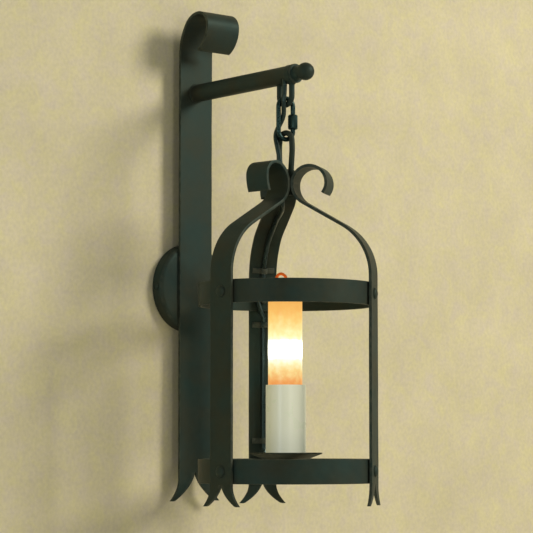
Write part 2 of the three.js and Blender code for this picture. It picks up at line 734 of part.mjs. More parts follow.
// Rivets: a domed head outside the bar, a low tail inside the ring
function rivet() {
  const tailTop = Math.sqrt(ringInner ** 2 - rivetTailRadius ** 2) - fitGap;
  const tailFoot = tailTop - rivetTailHeight;
  const headBase = barOuterFace + fitGap;
  const head = domedScrew(rivetShankRadius, rivetHeadRadius, rivetHeadHeight, headBase - tailFoot)
    .translate(0, 0, headBase);
  const tail = turned([
    [0, tailFoot], [rivetTailRadius - rivetTailChamfer, tailFoot],
    [rivetTailRadius, tailFoot + rivetTailChamfer], [rivetTailRadius, tailTop], [0, tailTop],
  ], 16);
  return join(head, tail).rotateY(radians(90));
}
Object.entries(barPolar).forEach(([place, degrees]) => {
  [['upper', upperRivetHeight], ['lower', lowerRivetHeight]].forEach(([level, height]) => {
    const mesh = piece(`rivet_${level}_${place}`, rivet(), iron, hangingLine);
    mesh.rotation.z = radians(degrees);
    mesh.position.z = height;
  });
});

// Crown loop: an oval of rod, its two legs welded down into the throat
function crownLoop() {
  const seat = throatReach - barThickness / 2 - loopWireRadius - fitGap;
  const rearLeg = seat / Math.cos(radians(loopTurn - barPolar.rear));
  const frontLeg = -seat / Math.cos(radians(barPolar.right - loopTurn - 180));
  const loopTop = linkFoot + linkWireRadius + linkSlack + loopWireRadius;
  const arch = loopTop - loopHalfWidth;
  const legShares = [0, 0.3, 0.6, 0.85];
  const leg = (foot, side) => legShares.map((share) => [
    THREE.MathUtils.lerp(foot, side * loopHalfWidth, THREE.MathUtils.smoothstep(share, loopSpreadShare, 1))
      + side * loopBulge * Math.sin(Math.PI * share ** 3),
    THREE.MathUtils.lerp(loopFoot, arch - loopBulgeFall, share / legShares[3]),
  ]);
  const path = [
    ...leg(rearLeg, 1), ...arcPoints(0, arch, loopHalfWidth, 0, 180, 12), ...leg(frontLeg, -1).reverse(),
  ].map(([x, z]) => new THREE.Vector3(x, 0, z));
  return tube(path, loopWireRadius, 10, 36).rotateZ(radians(loopTurn));
}
piece('crown_loop', crownLoop(), iron, hangingLine);

// Cross strut: a flat bar across the lower ring, its ears turned up against the ring
function crossStrut() {
  const earFace = Math.sqrt(ringInner ** 2 - (strutWidth / 2) ** 2) - fitGap;
  const middle = strutTop - strutThickness / 2;
  const earRun = strutEarHeight - strutThickness / 2 - strutBend;
  const line = bent(-earFace + strutThickness / 2, middle + strutBend + earRun, -90, [
    { run: earRun }, { radius: strutBend, turn: 90 },
    { run: 2 * (earFace - strutThickness / 2 - strutBend) },
    { radius: strutBend, turn: 90 }, { run: earRun },
  ], foldStepDegrees);
  const hole = rod(boltRadius + fitGap, strutTop - overrun, strutTop + overrun);
  return cut(strip(line, strutThickness, strutWidth), hole).rotateZ(radians(90 + lanternTurn));
}
piece('cross_strut', crossStrut(), iron, hangingLine);

// Boss on the strut: hollow, with the flex entering its side
const panFloorLow = panFloorTop - panThickness;
const bossLow = strutTop + fitGap;
const bossTop = panFloorLow - fitGap;

function sideEntryBoss() {
  const body = turned([
    [boltRadius + fitGap, bossLow], [bossRadius, bossLow], [bossRadius, bossTop], [bossBore, bossTop],
    [bossBore, bossLow + bossFloor], [boltRadius + fitGap, bossLow + bossFloor],
  ], 20);
  const entry = rod(bossEntryRadius, 0, bossRadius + overrun)
    .rotateY(radians(90)).translate(0, 0, bossEntryHeight).rotateZ(radians(barPolar.rear));
  return cut(body, entry);
}
piece('side_entry_boss', sideEntryBoss(), iron, hangingLine);

function bossBolt() {
  const headTop = strutTop - strutThickness - fitGap;
  return join(
    hexagon(boltHeadFlats, headTop - boltHeadHeight, headTop),
    rod(boltRadius, headTop - boltHeadHeight / 2, bossLow + bossFloor),
  );
}
piece('boss_bolt', bossBolt(), zinc, hangingLine);

// Drip pan: a shallow dish on the boss
function dripPan() {
  const bore = nippleRadius + fitGap;
  return turned([
    [bore, panFloorLow], [panFloorRadius, panFloorLow], [panRadius, panRimTop - panThickness],
    [panRadius, panRimTop], [panRadius - panThickness, panRimTop],
    [panFloorRadius - panThickness, panFloorTop], [bore, panFloorTop],
  ], 40);
}
piece('drip_pan', dripPan(), iron, hangingLine);

// Nipple and nut that clamp the pan
const panNutLow = panFloorTop + fitGap;
const holderBase = panNutLow + panNutThickness + holderBaseGap;

piece('threaded_nipple', turned([
  [nippleBore, nippleLow], [nippleRadius, nippleLow], [nippleRadius, nippleHigh], [nippleBore, nippleHigh],
], 16), zinc, hangingLine);
const panNut = hexagon(panNutFlats, panNutLow, panNutLow + panNutThickness, nippleRadius + fitGap);
piece('pan_nut', panNut, zinc, hangingLine);

// Lampholder: a base on the nipple, a wiring chamber, a socket and a flange at the top
function lampholder() {
  const bore = nippleRadius + fitGap;
  const chamberTop = holderSocketFloor - holderPartition;
  return turned([
    [bore, holderBase], [holderRadius, holderBase], [holderRadius, holderTop - holderFlangeThickness],
    [holderFlangeRadius, holderTop - holderFlangeThickness], [holderFlangeRadius, holderTop],
    [holderSocketRadius, holderTop], [holderSocketRadius, holderSocketFloor],
    [holderContactHole, holderSocketFloor], [holderContactHole, chamberTop],
    [holderChamberRadius, chamberTop], [holderChamberRadius, holderBase + holderBaseThickness],
    [bore, holderBase + holderBaseThickness],
  ], 24);
}
piece('lampholder', lampholder(), blackPlastic, hangingLine);

// Lamp: a screw cap and a tubular glass
function lamp() {
  const capLow = holderSocketFloor + fitGap;
  const capTop = capLow + lampCapLength;
  const glassLow = capTop + lampNeckLength;
  const dome = arcPoints(0, lampTop - lampGlassRadius, lampGlassRadius, 0, 90, 6);
  const neckStep = (lampGlassRadius - lampCapRadius) / 2;
  return turned([
    [0, capLow], [lampContactRadius, capLow], [lampContactRadius, capLow + lampContactRadius / 2],
    [lampCapRadius, capLow + lampContactRadius], [lampCapRadius, capTop],
    [lampCapRadius + neckStep, capTop + lampNeckLength / 2], [lampGlassRadius, glassLow], ...dome,
  ], 20);
}
piece('lamp', lamp(), opalGlass, hangingLine);

// Candle sleeve: a plain card tube that stands in the pan
const sleeveLow = panFloorTop + fitGap;
piece('candle_sleeve', turned([
  [sleeveRadius - sleeveWall, sleeveLow], [sleeveRadius, sleeveLow],
  [sleeveRadius, sleeveTop], [sleeveRadius - sleeveWall, sleeveTop],
], 36), cream, hangingLine);

// Glow tube: a closed-topped tube over the lamp, resting on the lampholder's flange
const glowLow = holderTop + fitGap;
const leanSide = polar(candleLeanPolar, 1);
const glowPlace = leanSide.clone().multiplyScalar(glowShift);
const wickHole = wickRadius + fitGap;

const glowTube = piece('glow_tube', turned([
  [glowRadius - glowWall, glowLow], [glowRadius, glowLow], [glowRadius, glowTop], [wickHole, glowTop],
  [wickHole, glowTop - wickHoleDepth], [0, glowTop - wickHoleDepth], [0, glowTop - 2 * glowWall],
  [glowRadius - glowWall, glowTop - 2 * glowWall],
], 32), glow, hangingLine);
glowTube.position.copy(glowPlace);

// Wick: a short curl in the top of the glow tube
function wick() {
  const foot = glowTop - wickHoleDepth + fitGap;
  const rise = wickTop - wickRadius - foot;
  const curlShares = [[0, 0], [0, 0.4], [-0.08, 0.75], [0.3, 0.98], [0.68, 0.95], [0.9, 0.72]];
  return tube(curlShares.map(([across, up]) => new THREE.Vector3(0, 0, foot + up * rise)
    .addScaledVector(leanSide, across * wickReach)), wickRadius, 8, 16);
}
piece('wick', wick(), wickOrange, hangingLine).position.copy(glowPlace);

// Saddle clips: each holds the flex to the inner face of the rear bar
function saddleClip() {
  const hump = flexRadius + fitGap + clipThickness / 2;
  const seat = clipThickness / 2 + fitGap;
  const wall = fitGap + flexRadius + clipSlack - seat - clipFoldRadius;
  const foot = clipSpan / 2 - hump - clipFoldRadius;
  const line = bent(-clipSpan / 2, seat, 0, [
    { run: foot }, { radius: clipFoldRadius, turn: 90 }, { run: wall }, { radius: hump, turn: -180 },
    { run: wall }, { radius: clipFoldRadius, turn: 90 }, { run: foot },
  ], foldStepDegrees);
  const turn = new THREE.Matrix4().makeBasis(
    new THREE.Vector3(0, -1, 0),
    new THREE.Vector3(0, 0, 1),
    new THREE.Vector3(-1, 0, 0),
  );
  return strip(line, clipThickness, clipWidth).applyMatrix4(turn);
}

const rearBar = new THREE.Group();
rearBar.rotation.z = radians(barPolar.rear);
hangingLine.add(rearBar);
clipHeights.forEach((height, k) => {
  const lean = height > shoulderHeight ? Math.asin((height - shoulderHeight) / shoulderBend) : 0;
  const set = shoulderBend * (1 - Math.cos(lean)) + barThickness / 2 * Math.cos(lean);
  const mesh = piece(`flex_clip_${k + 1}`, saddleClip(), iron, rearBar);
  mesh.position.set(barReach - set, 0, height - (barThickness / 2) * Math.sin(lean));
  mesh.rotation.y = -lean;
});

export default lantern;
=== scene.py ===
"""Wrought-iron wall lantern: forged bars, chain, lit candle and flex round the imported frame."""

import math

import bmesh
import bpy
from bpy.props import FloatProperty, FloatVectorProperty, IntProperty, PointerProperty
from mathutils import Matrix, Vector, noise


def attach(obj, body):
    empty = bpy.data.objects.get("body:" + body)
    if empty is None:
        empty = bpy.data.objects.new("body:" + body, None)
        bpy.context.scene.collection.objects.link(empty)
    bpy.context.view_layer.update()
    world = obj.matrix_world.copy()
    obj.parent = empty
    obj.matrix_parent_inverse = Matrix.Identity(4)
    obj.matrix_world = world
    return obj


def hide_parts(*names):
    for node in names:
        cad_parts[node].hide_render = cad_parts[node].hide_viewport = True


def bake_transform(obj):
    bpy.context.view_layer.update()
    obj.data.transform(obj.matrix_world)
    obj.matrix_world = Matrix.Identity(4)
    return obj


bl_info = {
    "name": "Wrought-iron wall lantern",
    "version": (1, 0, 0),
    "blender": (4, 5, 0),
    "location": "View3D > Sidebar > Lantern",
    "description": "Makes the visible pieces of a wall lantern round its packed frame",
    "category": "Object",
}

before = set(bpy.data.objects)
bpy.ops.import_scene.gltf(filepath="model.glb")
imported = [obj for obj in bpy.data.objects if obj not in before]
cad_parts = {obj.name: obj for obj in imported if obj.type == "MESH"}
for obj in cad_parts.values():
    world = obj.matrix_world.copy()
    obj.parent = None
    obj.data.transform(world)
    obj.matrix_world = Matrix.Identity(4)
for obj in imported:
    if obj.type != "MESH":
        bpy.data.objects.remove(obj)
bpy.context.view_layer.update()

# Sizes are in millimetres and turns in degrees down to the camera, whose sizes are in metres
MM = 0.001
HANG = Vector((0.0, -158.3, 0.0)) * MM
LANTERN_PLACE = Matrix.Translation(HANG / MM)
POLAR = {"left": 182.2, "rear": 62.2, "right": 302.2}

# Strap and bars: where the flat lies, its split foot, and its bends as radius and turn.
# A radius of 0 is a straight run of that length, and None is the slope up to the throat.
STRAP = {
    "offset": 15.5, "thickness": 3.0, "width": 45.0, "split": -198.0, "tip": -229.5,
    "reach": 34.5, "cut": 5.0, "straight_to": 252.8,
    "bends": [(55.0, -35.0), (24.0, -55.0), (14.5, -90.0), (29.0, -62.0)],
}
BAR = {
    "offset": 93.0, "thickness": 3.0, "width": 30.0, "split": -209.0, "tip": -231.5,
    "reach": 25.5, "cut": 5.0, "straight_to": 5.0,
    "bends": [(60.0, 60.0), None, (22.0, -60.0), (0.0, 1.2)],
}
SCROLL = [(18.0, -125.0), (18.0, -55.0), (16.6, -40.0)]
LEFT_SCROLL = [(22.0, -60.0), (14.2, -30.0), (13.3, -90.0), (45.0, -22.0)]
BAR_THROAT = 10.36
FLARE_SHARE = 1.9
BOW_ACROSS_SHARE = 0.17
BOW_DOWN_SHARE = 0.55
SPLIT_GAP, STRAIGHT_GAP, SLOPE_GAP, SHORT_GAP, BEND_PART = 1.2, 8.0, 6.0, 3.0, 4.0
LANES = [0.0, 0.3, 0.6, 0.88, 0.97, 1.0]
TINE_TIP, FLAT_EDGE = 1.5, 0.45

# The hammer leaves waves of about 55 mm in the faces and shorter ones in the edges
WAVES_PER_MM, EDGE_WAVES = 0.018, 2.3
FACE_UNEVEN, EDGE_UNEVEN = 0.22, 0.25
STRAP_SEED, BAR_SEED, BAR_SEED_STEP = 3.1, 11.7, 5.3

# Turned outlines are radius, height and share of rubbed wear and painted edge highlight, which is 0 where
# it isn't given
CUP = {"radius": 47.5, "depth": 14.0, "wall": 1.5, "shoulder": 5.0, "lip": 0.4}
CUP_SCREW = {"out": 47.8, "level": -6.2, "slot_out": 50.1, "slot": (1.6, 1.0, 12.0)}
CUP_SCREW_OUTLINE = [
    (0.0, -7.0), (2.0, -7.0), (2.0, 0.0), (3.7, 0.0, 1.0), (4.0, 0.25, 1.0), (3.7, 0.9), (3.0, 1.7),
    (1.9, 2.3), (0.9, 2.55), (0.0, 2.6),
]
ARM = {
    "start": (0.0, -17.0, 211.8), "rise": 1.8, "length": 155.077, "radius": 9.5, "bore": 7.5,
    "gap": 0.35, "station": 8.0, "band": 10.1, "band_length": 8.0, "hole": 3.0, "hole_points": 24,
}
ARM_WELD = {"radius": 9.6, "height": 0.9, "lift": 0.6}
FINIAL_GAP = 0.3
FINIAL_OUTLINE = [
    (0.0, -7.0), (7.2, -7.0), (7.2, 0.0), (9.7, 0.0, 1.0), (10.1, 0.4, 1.0), (10.1, 1.8, 1.0),
    (9.6, 2.4, 1.0), (8.1, 2.4), (7.8, 2.7), (7.55, 4.0), (7.5, 7.0), (7.6, 9.6), (7.75, 10.3),
]
BALL = {"radius": 9.3, "seat": 7.6, "foot": 10.4}
RING = {"inner": 88.2, "outer": 91.2, "edge": 0.5}
RING_LEVELS = {"upper": (-26.0, -2.0), "lower": (-208.8, -183.8)}
RIVET_LEVELS = (-196.3, -14.0)
RIVET = {"inner": 87.6, "outer": 94.6, "shank": 2.5, "rim": 0.3, "rise": 2.7}
RIVET_TAIL = [(0.0, -1.8), (3.0, -1.8, 1.0), (4.2, -1.2, 1.0), (4.5, -0.5), (4.5, 0.0), (2.5, 0.0)]
PAN_OUTLINE = [
    (5.3, -184.2), (20.0, -184.2), (23.0, -183.9), (26.0, -183.0), (36.7, -178.9), (37.5, -178.4, 1.0),
    (37.8, -177.8, 1.0), (37.5, -177.3, 1.0), (36.8, -177.5, 1.0), (36.1, -177.9), (25.6, -181.8),
    (22.6, -182.7), (20.0, -183.0), (5.3, -183.0),
]
SLEEVE = {"inner": 18.85, "outer": 20.85, "foot": -182.7, "top": -107.4, "edge": 0.45}

# The lit tube stands a little off the lantern's middle, and its wick curls over the same way
GLOW = {"towards": 137.0, "off": 0.7, "radius": 17.75, "rim": 1.6, "rim_level": -7.6}
GLOW_FOOT = [(15.9, -123.7), (17.4, -123.7), (17.75, -123.3)]
GLOW_LEVELS = range(-118, -8, 6)
GLOW_TOP = [
    (10.0, -5.7), (4.0, -5.9), (1.8, -6.3), (1.8, -7.6), (0.0, -7.6), (0.0, -10.4), (15.55, -10.4),
    (15.55, -123.4),
]
WICK = {"foot": -7.3, "rise": 15.5, "reach": 10.0, "radius": 1.5, "foot_share": 1.1}
WICK_CURL = [(0, 0), (0, 0.4), (-0.08, 0.75), (0.3, 0.98), (0.68, 0.95), (0.9, 0.72)]

# Bent wire: the staple under the arm, the screw link with its opening, and the crown loop
WIRE_STEP, WICK_STEP, ARCH_STEPS = 1.2, 0.8, 16
STAPLE = {"half": 9.2, "middle": 185.1, "top": 206.9, "wire": 3.0}
STAPLE_WELD = {"radius": 3.2, "height": 0.8, "level": 206.65}
LINK = {"turn": -18.0, "foot": 148.8, "top": 191.8, "half": 8.25, "wire": 2.5, "opening": (161.0, 166.8)}
LOOP = {
    "turn": 102.0, "foot": 90.0, "top": 155.5, "half": 7.6, "wire": 3.0, "right_foot": 7.24,
    "left_foot": -5.92, "bulge": 0.7, "spread_from": 0.2, "below_arch": 9.0,
}
LOOP_SHARES = [0.0, 0.3, 0.6, 0.85]

# Edges eased on the copies of CAD nodes; the clips are paler nearly all over, as rubbed wax and a painted
# highlight
NUT_EDGE, BLOCK_EDGE, CLIP_EDGE, CLIP_WEAR_AND_HIGHLIGHT = 0.35, 0.4, 0.2, 2.5

# Flex routes, as in the CAD source
FLEX_FEED = [
    (0, 5.5, 7.7), (0, 5.3, 20), (0, 5, 35), (0, 5, 47), (0, 5.2, 60), (0, 6, 90), (0, 6, 130),
    (0, 6, 165), (0, 6.2, 182), (0, 7.4, 195), (0, 11.6, 204.6), (0, 18, 209.4), (0, 28, 211),
    (0, 45, 210.4), (0, 80, 210.6), (-0.5, 115, 211.4), (-1.5, 138, 212.2), (-3, 151, 213.1),
    (-4.5, 157.6, 212.6), (-5.3, 161.5, 210.6), (-5.5, 162.45, 208), (-5.5, 162.5, 205.7),
]
FLEX_DROP = [
    (-3.93, -5.69, 205.4), (-4.13, -5.77, 199), (-4.65, -5.81, 193), (-4.84, -5.43, 188),
    (-4.24, -4.05, 182), (-3.07, -1.64, 176.5), (-2.95, 1.33, 171), (-4.46, 3.88, 165.6),
    (-6.85, 5.31, 160.2), (-8.57, 5.45, 155.4), (-9.35, 4.72, 150.6), (-9.12, 3.52, 145.6),
    (-8.56, 2.31, 140.5), (-7.75, 0.99, 134), (-6.81, -0.29, 126), (-5.99, -1.26, 117),
    (-5.53, -1.72, 108), (-5.47, -1.78, 101.3),
]
FLEX_BAR = [
    (-2.685, 5.087, 101), (-2.685, 5.087, 94), (-2, 4.6, 87), (1.5, 3.4, 80.5), (7.5, 2, 76),
    (15, 0.9, 73.5), (24, 0.2, 71.2), (35, 0, 67.6), (48, 0, 60.4), (60.85, 0, 52.8),
    (71.4, 0, 44.9), (81, 0, 32.8), (86.6, 0, 20), (87.2, 0.1, 14), (86.6, 1.9, 6), (85.3, 5, -1),
    (85, 7.5, -10), (85, 7.2, -17), (85.2, 4.2, -26.5), (86.4, 1.1, -32.5), (87.7, 0, -38),
    (88.2, 0, -44), (88.5, 0, -56), (88.6, 0, -80), (88.6, 0, -120), (88.6, 0, -158),
    (88.3, 0, -168), (86.2, 0, -178), (81, 0, -186), (72, 0, -190.6), (60, 0, -191.6),
    (40, 0, -191.5), (20, 0, -191.5), (7, 0, -191.5),
]
FLEX_DROP_SPLIT = 168.0
FLEX_STEP = 1.5

# The lit tube's colours and light from foot to top; a light of 1 shows a colour as it is written
GLOW_COLOURS = [
    (0.0, "#d9702e"), (0.1, "#e88a40"), (0.17, "#f2a85c"), (0.21, "#f5bf74"), (0.26, "#f9dc90"),
    (0.31, "#fdf0b8"), (0.36, "#fffce4"), (0.5, "#fffde6"), (0.56, "#fbf6bc"), (0.61, "#fae89e"),
    (0.7, "#fad27c"), (0.8, "#f6bb62"), (1.0, "#f0a852"),
]
GLOW_LIGHT = [
    (0.0, 0.9), (0.3, 1.0), (0.36, 1.1), (0.42, 5.0), (0.48, 5.0), (0.54, 1.1), (0.65, 1.02), (1.0, 0.98),
]
GLOW_PEAK = 5.0

# Camera, wall, floor and lights, in metres: a light has its place, width, power and colour
CAMERA = {"spot": (-1.748, -2.004, -0.169), "ahead": (0.6817, 0.7313), "rise": 4.156, "lens": 165.46}
SENSOR = 36.0
WALL = {"half": 2.5, "behind": 0.0006, "foot": -0.6, "top": 2.2}
FLOOR_HALF = 4
LIGHTS = {
    "Key": ((1.9, -2.75, 1.6), 1.25, "key_power", "#fff6e8"),
    "Front": ((-0.9, -3.3, 0.3), 0.5, "front_power", "#fffaf0"),
    "Fill": ((-3.4, -0.9, 0.3), 0.5, "fill_power", "#f2f6ff"),
}
LIGHT_AIM = Vector((0, -0.1, 0))


def linear(code):
    """sRGB hex to linear red, green, blue and alpha."""
    parts = [int(code[k:k + 2], 16) / 255 for k in (1, 3, 5)]
    return tuple(c / 12.92 if c <= 0.04045 else ((c + 0.055) / 1.055) ** 2.4 for c in parts) + (1.0,)


def add(tree, kind, inputs=None, **settings):
    """Adds a node with its settings, and its inputs' values or links."""
    made = tree.nodes.new(kind)
    for name, value in settings.items():
        setattr(made, name, value)
    for socket, value in (inputs or {}).items():
        if isinstance(value, bpy.types.NodeSocket):
            tree.links.new(value, made.inputs[socket])
        else:
            made.inputs[socket].default_value = value
    return made


def new_material(name):
    made = bpy.data.materials.new(name)
    made.use_nodes = True
    made.node_tree.nodes.clear()
    return made, made.node_tree


# Paths and meshes


def smooth_route(points, step):
    """Points at about equal steps along a centripetal Catmull-Rom curve through points."""
    ends = [points[0] * 2 - points[1], *points, points[-1] * 2 - points[-2]]
    between = 24
    dense = []
    for k in range(1, len(ends) - 2):
        a, b, c, d = ends[k - 1:k + 3]
        t0, t1, t2 = (max((q - p).length, 1e-9) ** 0.5 for p, q in ((a, b), (b, c), (c, d)))
        first = ((b - a) / t0 - (c - a) / (t0 + t1) + (c - b) / t1) * t1
        last = ((c - b) / t1 - (d - b) / (t1 + t2) + (d - c) / t2) * t1
        for j in range(between):
            u = j / between
            dense.append(b + first * u + (-3 * b + 3 * c - 2 * first - last) * u ** 2
                         + (2 * b - 2 * c + first + last) * u ** 3)
    dense.append(points[-1].copy())
    reach = [0.0]
    for p, q in zip(dense, dense[1:]):
        reach.append(reach[-1] + (q - p).length)
    count = max(2, round(reach[-1] / step))
    made, at = [], 0
    for k in range(count + 1):
        want = reach[-1] * k / count
        while at < len(reach) - 2 and reach[at + 1] < want:
            at += 1
        span = max(reach[at + 1] - reach[at], 1e-12)
        made.append(dense[at].lerp(dense[at + 1], min(max((want - reach[at]) / span, 0), 1)))
    return made


def linked(name, mesh):
    made = bpy.data.objects.new(name, mesh)
    bpy.context.scene.collection.objects.link(made)
    return made


def from_bmesh(name, bm):
    mesh = bpy.data.meshes.new(name)
    bm.to_mesh(mesh)
    bm.free()
    return linked(name, mesh)


def settle(obj, sharp=35.0):
    """Turns the object and its modifiers into one plain mesh with smooth faces and crisp edges."""
    graph = bpy.context.evaluated_depsgraph_get()
    mesh = bpy.data.meshes.new_from_object(
        obj.evaluated_get(graph), preserve_all_data_layers=True, depsgraph=graph)
    obj.modifiers.clear()
    obj.data = mesh
    bm = bmesh.new()
    bm.from_mesh(mesh)
    bmesh.ops.recalc_face_normals(bm, faces=bm.faces)
    bm.to_mesh(mesh)
    bm.free()
    mesh.shade_smooth()
    mesh.set_sharp_from_angle(angle=math.radians(sharp))
    return obj


def bevelled(obj, width, angle):
    cut = obj.modifiers.new("Eased edges", "BEVEL")
    cut.width = width * MM
    cut.segments = 2
    cut.limit_method = "ANGLE"
    cut.angle_limit = math.radians(angle)
    return obj


def cut_away(obj, tool, sharp):
    """Cuts a tool's shape out of a piece, settles the piece and takes the tool away."""
    cut = obj.modifiers.new("Cut", "BOOLEAN")
    cut.object = tool
    cut.operation = "DIFFERENCE"
    cut.solver = "EXACT"
    settle(obj, sharp)
    bpy.data.objects.remove(tool)


def turn_by(degrees, axis="Z"):
    return Matrix.Rotation(math.radians(degrees), 4, axis)


def hung(points, degrees, step):
    """A smooth route in metres through points round the lantern's middle, turned about it."""
    turn = turn_by(degrees)
    return smooth_route([turn @ Vector(point) * MM + HANG for point in points], step * MM)


def dress(obj, material, body, slot, *nodes):
    """Gives a finished piece its material and body, and hides the CAD nodes that it stands for; its slot is
    not used.
    """
    obj.data.materials.clear()
    obj.data.materials.append(material)
    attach(obj, body)
    if nodes:
        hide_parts(*nodes)
    return obj


def arc(centre, radius, start, end, steps):
    points = []
    for k in range(steps + 1):
        angle = math.radians(start + (end - start) * k / steps)
        points.append((centre[0] + radius * math.cos(angle), centre[1] + radius * math.sin(angle)))
    return points


def eased_band(inner, outer, low, high, ease):
    """The closed outline of a band with eased corners, as radius, height and share of wear and painted
    highlight.
    """
    outline = []
    plain = 0.3
    for (r, z), start in (((outer - ease, low + ease), -90), ((outer - ease, high - ease), 0),
                          ((inner + ease, high - ease), 90), ((inner + ease, low + ease), 180)):
        corner = arc((r, z), ease, start, start + 90, 3)
        ahead = Vector((-math.sin(math.radians(start)), math.cos(math.radians(start))))
        after = Vector((-math.sin(math.radians(start + 90)), math.cos(math.radians(start + 90))))
        outline.append((*(Vector(corner[0]) - ahead * plain), 0.0))
        outline += [(x, y, 1.0) for x, y in corner]
        outline.append((*(Vector(corner[-1]) + after * plain), 0.0))
    return outline


def turned(name, outline, sides, place=Matrix.Identity(4)):
    """A turned mesh about +Z from radius, height and share of wear and painted highlight, in millimetres.
    """
    bm = bmesh.new()
    wear = bm.verts.layers.float.new("wear")
    rings = []
    for radius, height, *worn_and_highlit in outline:
        ring = []
        for k in range(1 if radius < 1e-6 else sides):
            angle = 2 * math.pi * k / sides
            spot = Vector((radius * math.cos(angle), radius * math.sin(angle), height))
            vert = bm.verts.new(place @ spot)
            vert[wear] = worn_and_highlit[0] if worn_and_highlit else 0.0
            ring.append(vert)
        rings.append(ring)
    pairs = list(zip(rings, rings[1:]))
    if not (len(rings[0]) == 1 and len(rings[-1]) == 1):
        pairs.append((rings[-1], rings[0]))
    for low, high in pairs:
        for k in range(sides):
            quad = [low[k % len(low)], low[(k + 1) % len(low)],
                    high[(k + 1) % len(high)], high[k % len(high)]]
            corners = list(dict.fromkeys(quad))
            if len(corners) > 2:
                bm.faces.new(corners)
    for vert in bm.verts:
        vert.co *= MM
    bmesh.ops.recalc_face_normals(bm, faces=bm.faces)
    return from_bmesh(name, bm)


def quadratic(a, b, c):
    """Points along the curve from a to c that b pulls aside."""
    steps = 40
    return [tuple((1 - u) ** 2 * p + 2 * (1 - u) * u * q + u ** 2 * r for p, q, r in zip(a, b, c))
            for u in (k / steps for k in range(steps + 1))]


def on_curve(curve, height):
    """Half width at a height on a curve of half width and height that only falls."""
    for (x0, z0), (x1, z1) in zip(curve, curve[1:]):
        if min(z0, z1) <= height <= max(z0, z1) and z0 != z1:
            return x0 + (x1 - x0) * (height - z0) / (z1 - z0)
    return curve[-1][0] if height < curve[-1][1] else curve[0][0]


def middle_line(form):
    """Stations on a bar's middle line: distance out, height and heading."""
    half = form["width"] / 2
    flare = form["tip"] + (form["reach"] - half) * FLARE_SHARE
    x, z, heading = form["offset"], form["tip"], 90.0
    stations = [(x, z, heading)]

    def run(length, gap):
        nonlocal x, z
        count = max(1, math.ceil(length / gap))
        for _ in range(count):
            x += length / count * math.cos(math.radians(heading))
            z += length / count * math.sin(math.radians(heading))
            stations.append((x, z, heading))

    low, high = sorted((form["split"], flare))
    run(low - form["tip"], SPLIT_GAP)
    run(high - low, SPLIT_GAP)
    run(form["straight_to"] - high, STRAIGHT_GAP)
    for bend in form["bends"]:
        if bend is None:
            shoulder, turn = form["bends"][0]
            throat = form["bends"][2][0]
            inward = (shoulder + throat) * (1 - math.cos(math.radians(turn)))
            run((form["offset"] - BAR_THROAT - inward) / math.sin(math.radians(turn)), SLOPE_GAP)
            continue
        radius, turn = bend
        if radius == 0:
            run(turn, SHORT_GAP)
            continue
        side = math.copysign(1.0, turn)
        centre = (x - side * radius * math.sin(math.radians(heading)),
                  z + side * radius * math.cos(math.radians(heading)))
        steps = math.ceil(abs(turn) / BEND_PART)
        for k in range(1, steps + 1):
            angle = heading + turn * k / steps
            x = centre[0] + side * radius * math.sin(math.radians(angle))
            z = centre[1] - side * radius * math.cos(math.radians(angle))
            stations.append((x, z, angle))
        heading += turn
    return stations


def forged_bar(name, form, place, seed):
    """A flat bar bent on its middle line, its foot split in two tines, slightly uneven as forged."""
    half = form["width"] / 2
    inner_tip = form["reach"] - form["cut"]
    drop = form["split"] - form["tip"]
    spread = form["reach"] - half
    outer = quadratic((half, form["tip"] + spread * FLARE_SHARE), (half, form["tip"] + spread),
                      (form["reach"], form["tip"]))
    inner = quadratic((0.0, form["split"]),
                      (inner_tip * BOW_ACROSS_SHARE, form["split"] - drop * BOW_DOWN_SHARE),
                      (inner_tip, form["tip"]))
    bm = bmesh.new()
    wear = bm.verts.layers.float.new("wear")
    rows = []
    stations = middle_line(form)
    for number, (x, z, heading) in enumerate(stations):
        straight = abs(heading - 90) < 1e-6 and z < form["straight_to"] + 1e-6
        wide = on_curve(outer, z) if straight else half
        gap = on_curve(inner, z) if straight and z < form["split"] - 1e-6 else 0.0
        end = number in (0, len(stations) - 1)
        normal = Vector((-math.sin(math.radians(heading)), 0, math.cos(math.radians(heading))))
        row = {}
        for side in (-1, 1):
            for k, lane in enumerate(LANES):
                if side == 1 and k == 0 and gap == 0:
                    row[(1, 0)] = row[(-1, 0)]
                    continue
                spot = Vector((x, side * (gap + lane * (wide - gap)), z))
                wave = spot * WAVES_PER_MM + Vector((seed, seed, 0))
                spot += normal * FACE_UNEVEN * noise.noise(wave)
                if lane == 1.0:
                    spot.y += side * EDGE_UNEVEN * noise.noise(wave * EDGE_WAVES)
                vert = bm.verts.new(place @ spot)
                # Edges, ends and the tines' inner sides get the mask for rubbed wax with a painted
                # highlight
                vert[wear] = 1.0 if lane == 1.0 or end or (gap > 0 and k == 0) else 0.0
                row[(side, k)] = vert
        rows.append(row)
    outmost = len(LANES) - 1
    for low, high in zip(rows, rows[1:]):
        for side in (-1, 1):
            for k in range(outmost):
                corners = [low[(side, k)], low[(side, k + 1)], high[(side, k + 1)], high[(side, k)]]
                bm.faces.new(corners if side == 1 else corners[::-1])
    tips = [rows[0][(side, k)] for side in (-1, 1) for k in (0, outmost)]
    for vert in bm.verts:
        vert.co *= MM
    bmesh.ops.bevel(bm, geom=tips, offset=TINE_TIP * MM, segments=4, profile=0.5, affect="VERTICES")
    made = from_bmesh(name, bm)
    solid = made.modifiers.new("Thickness", "SOLIDIFY")
    solid.thickness = form["thickness"] * MM
    solid.offset = 0.0
    solid.use_even_offset = True
    return settle(bevelled(made, FLAT_EDGE, 50))


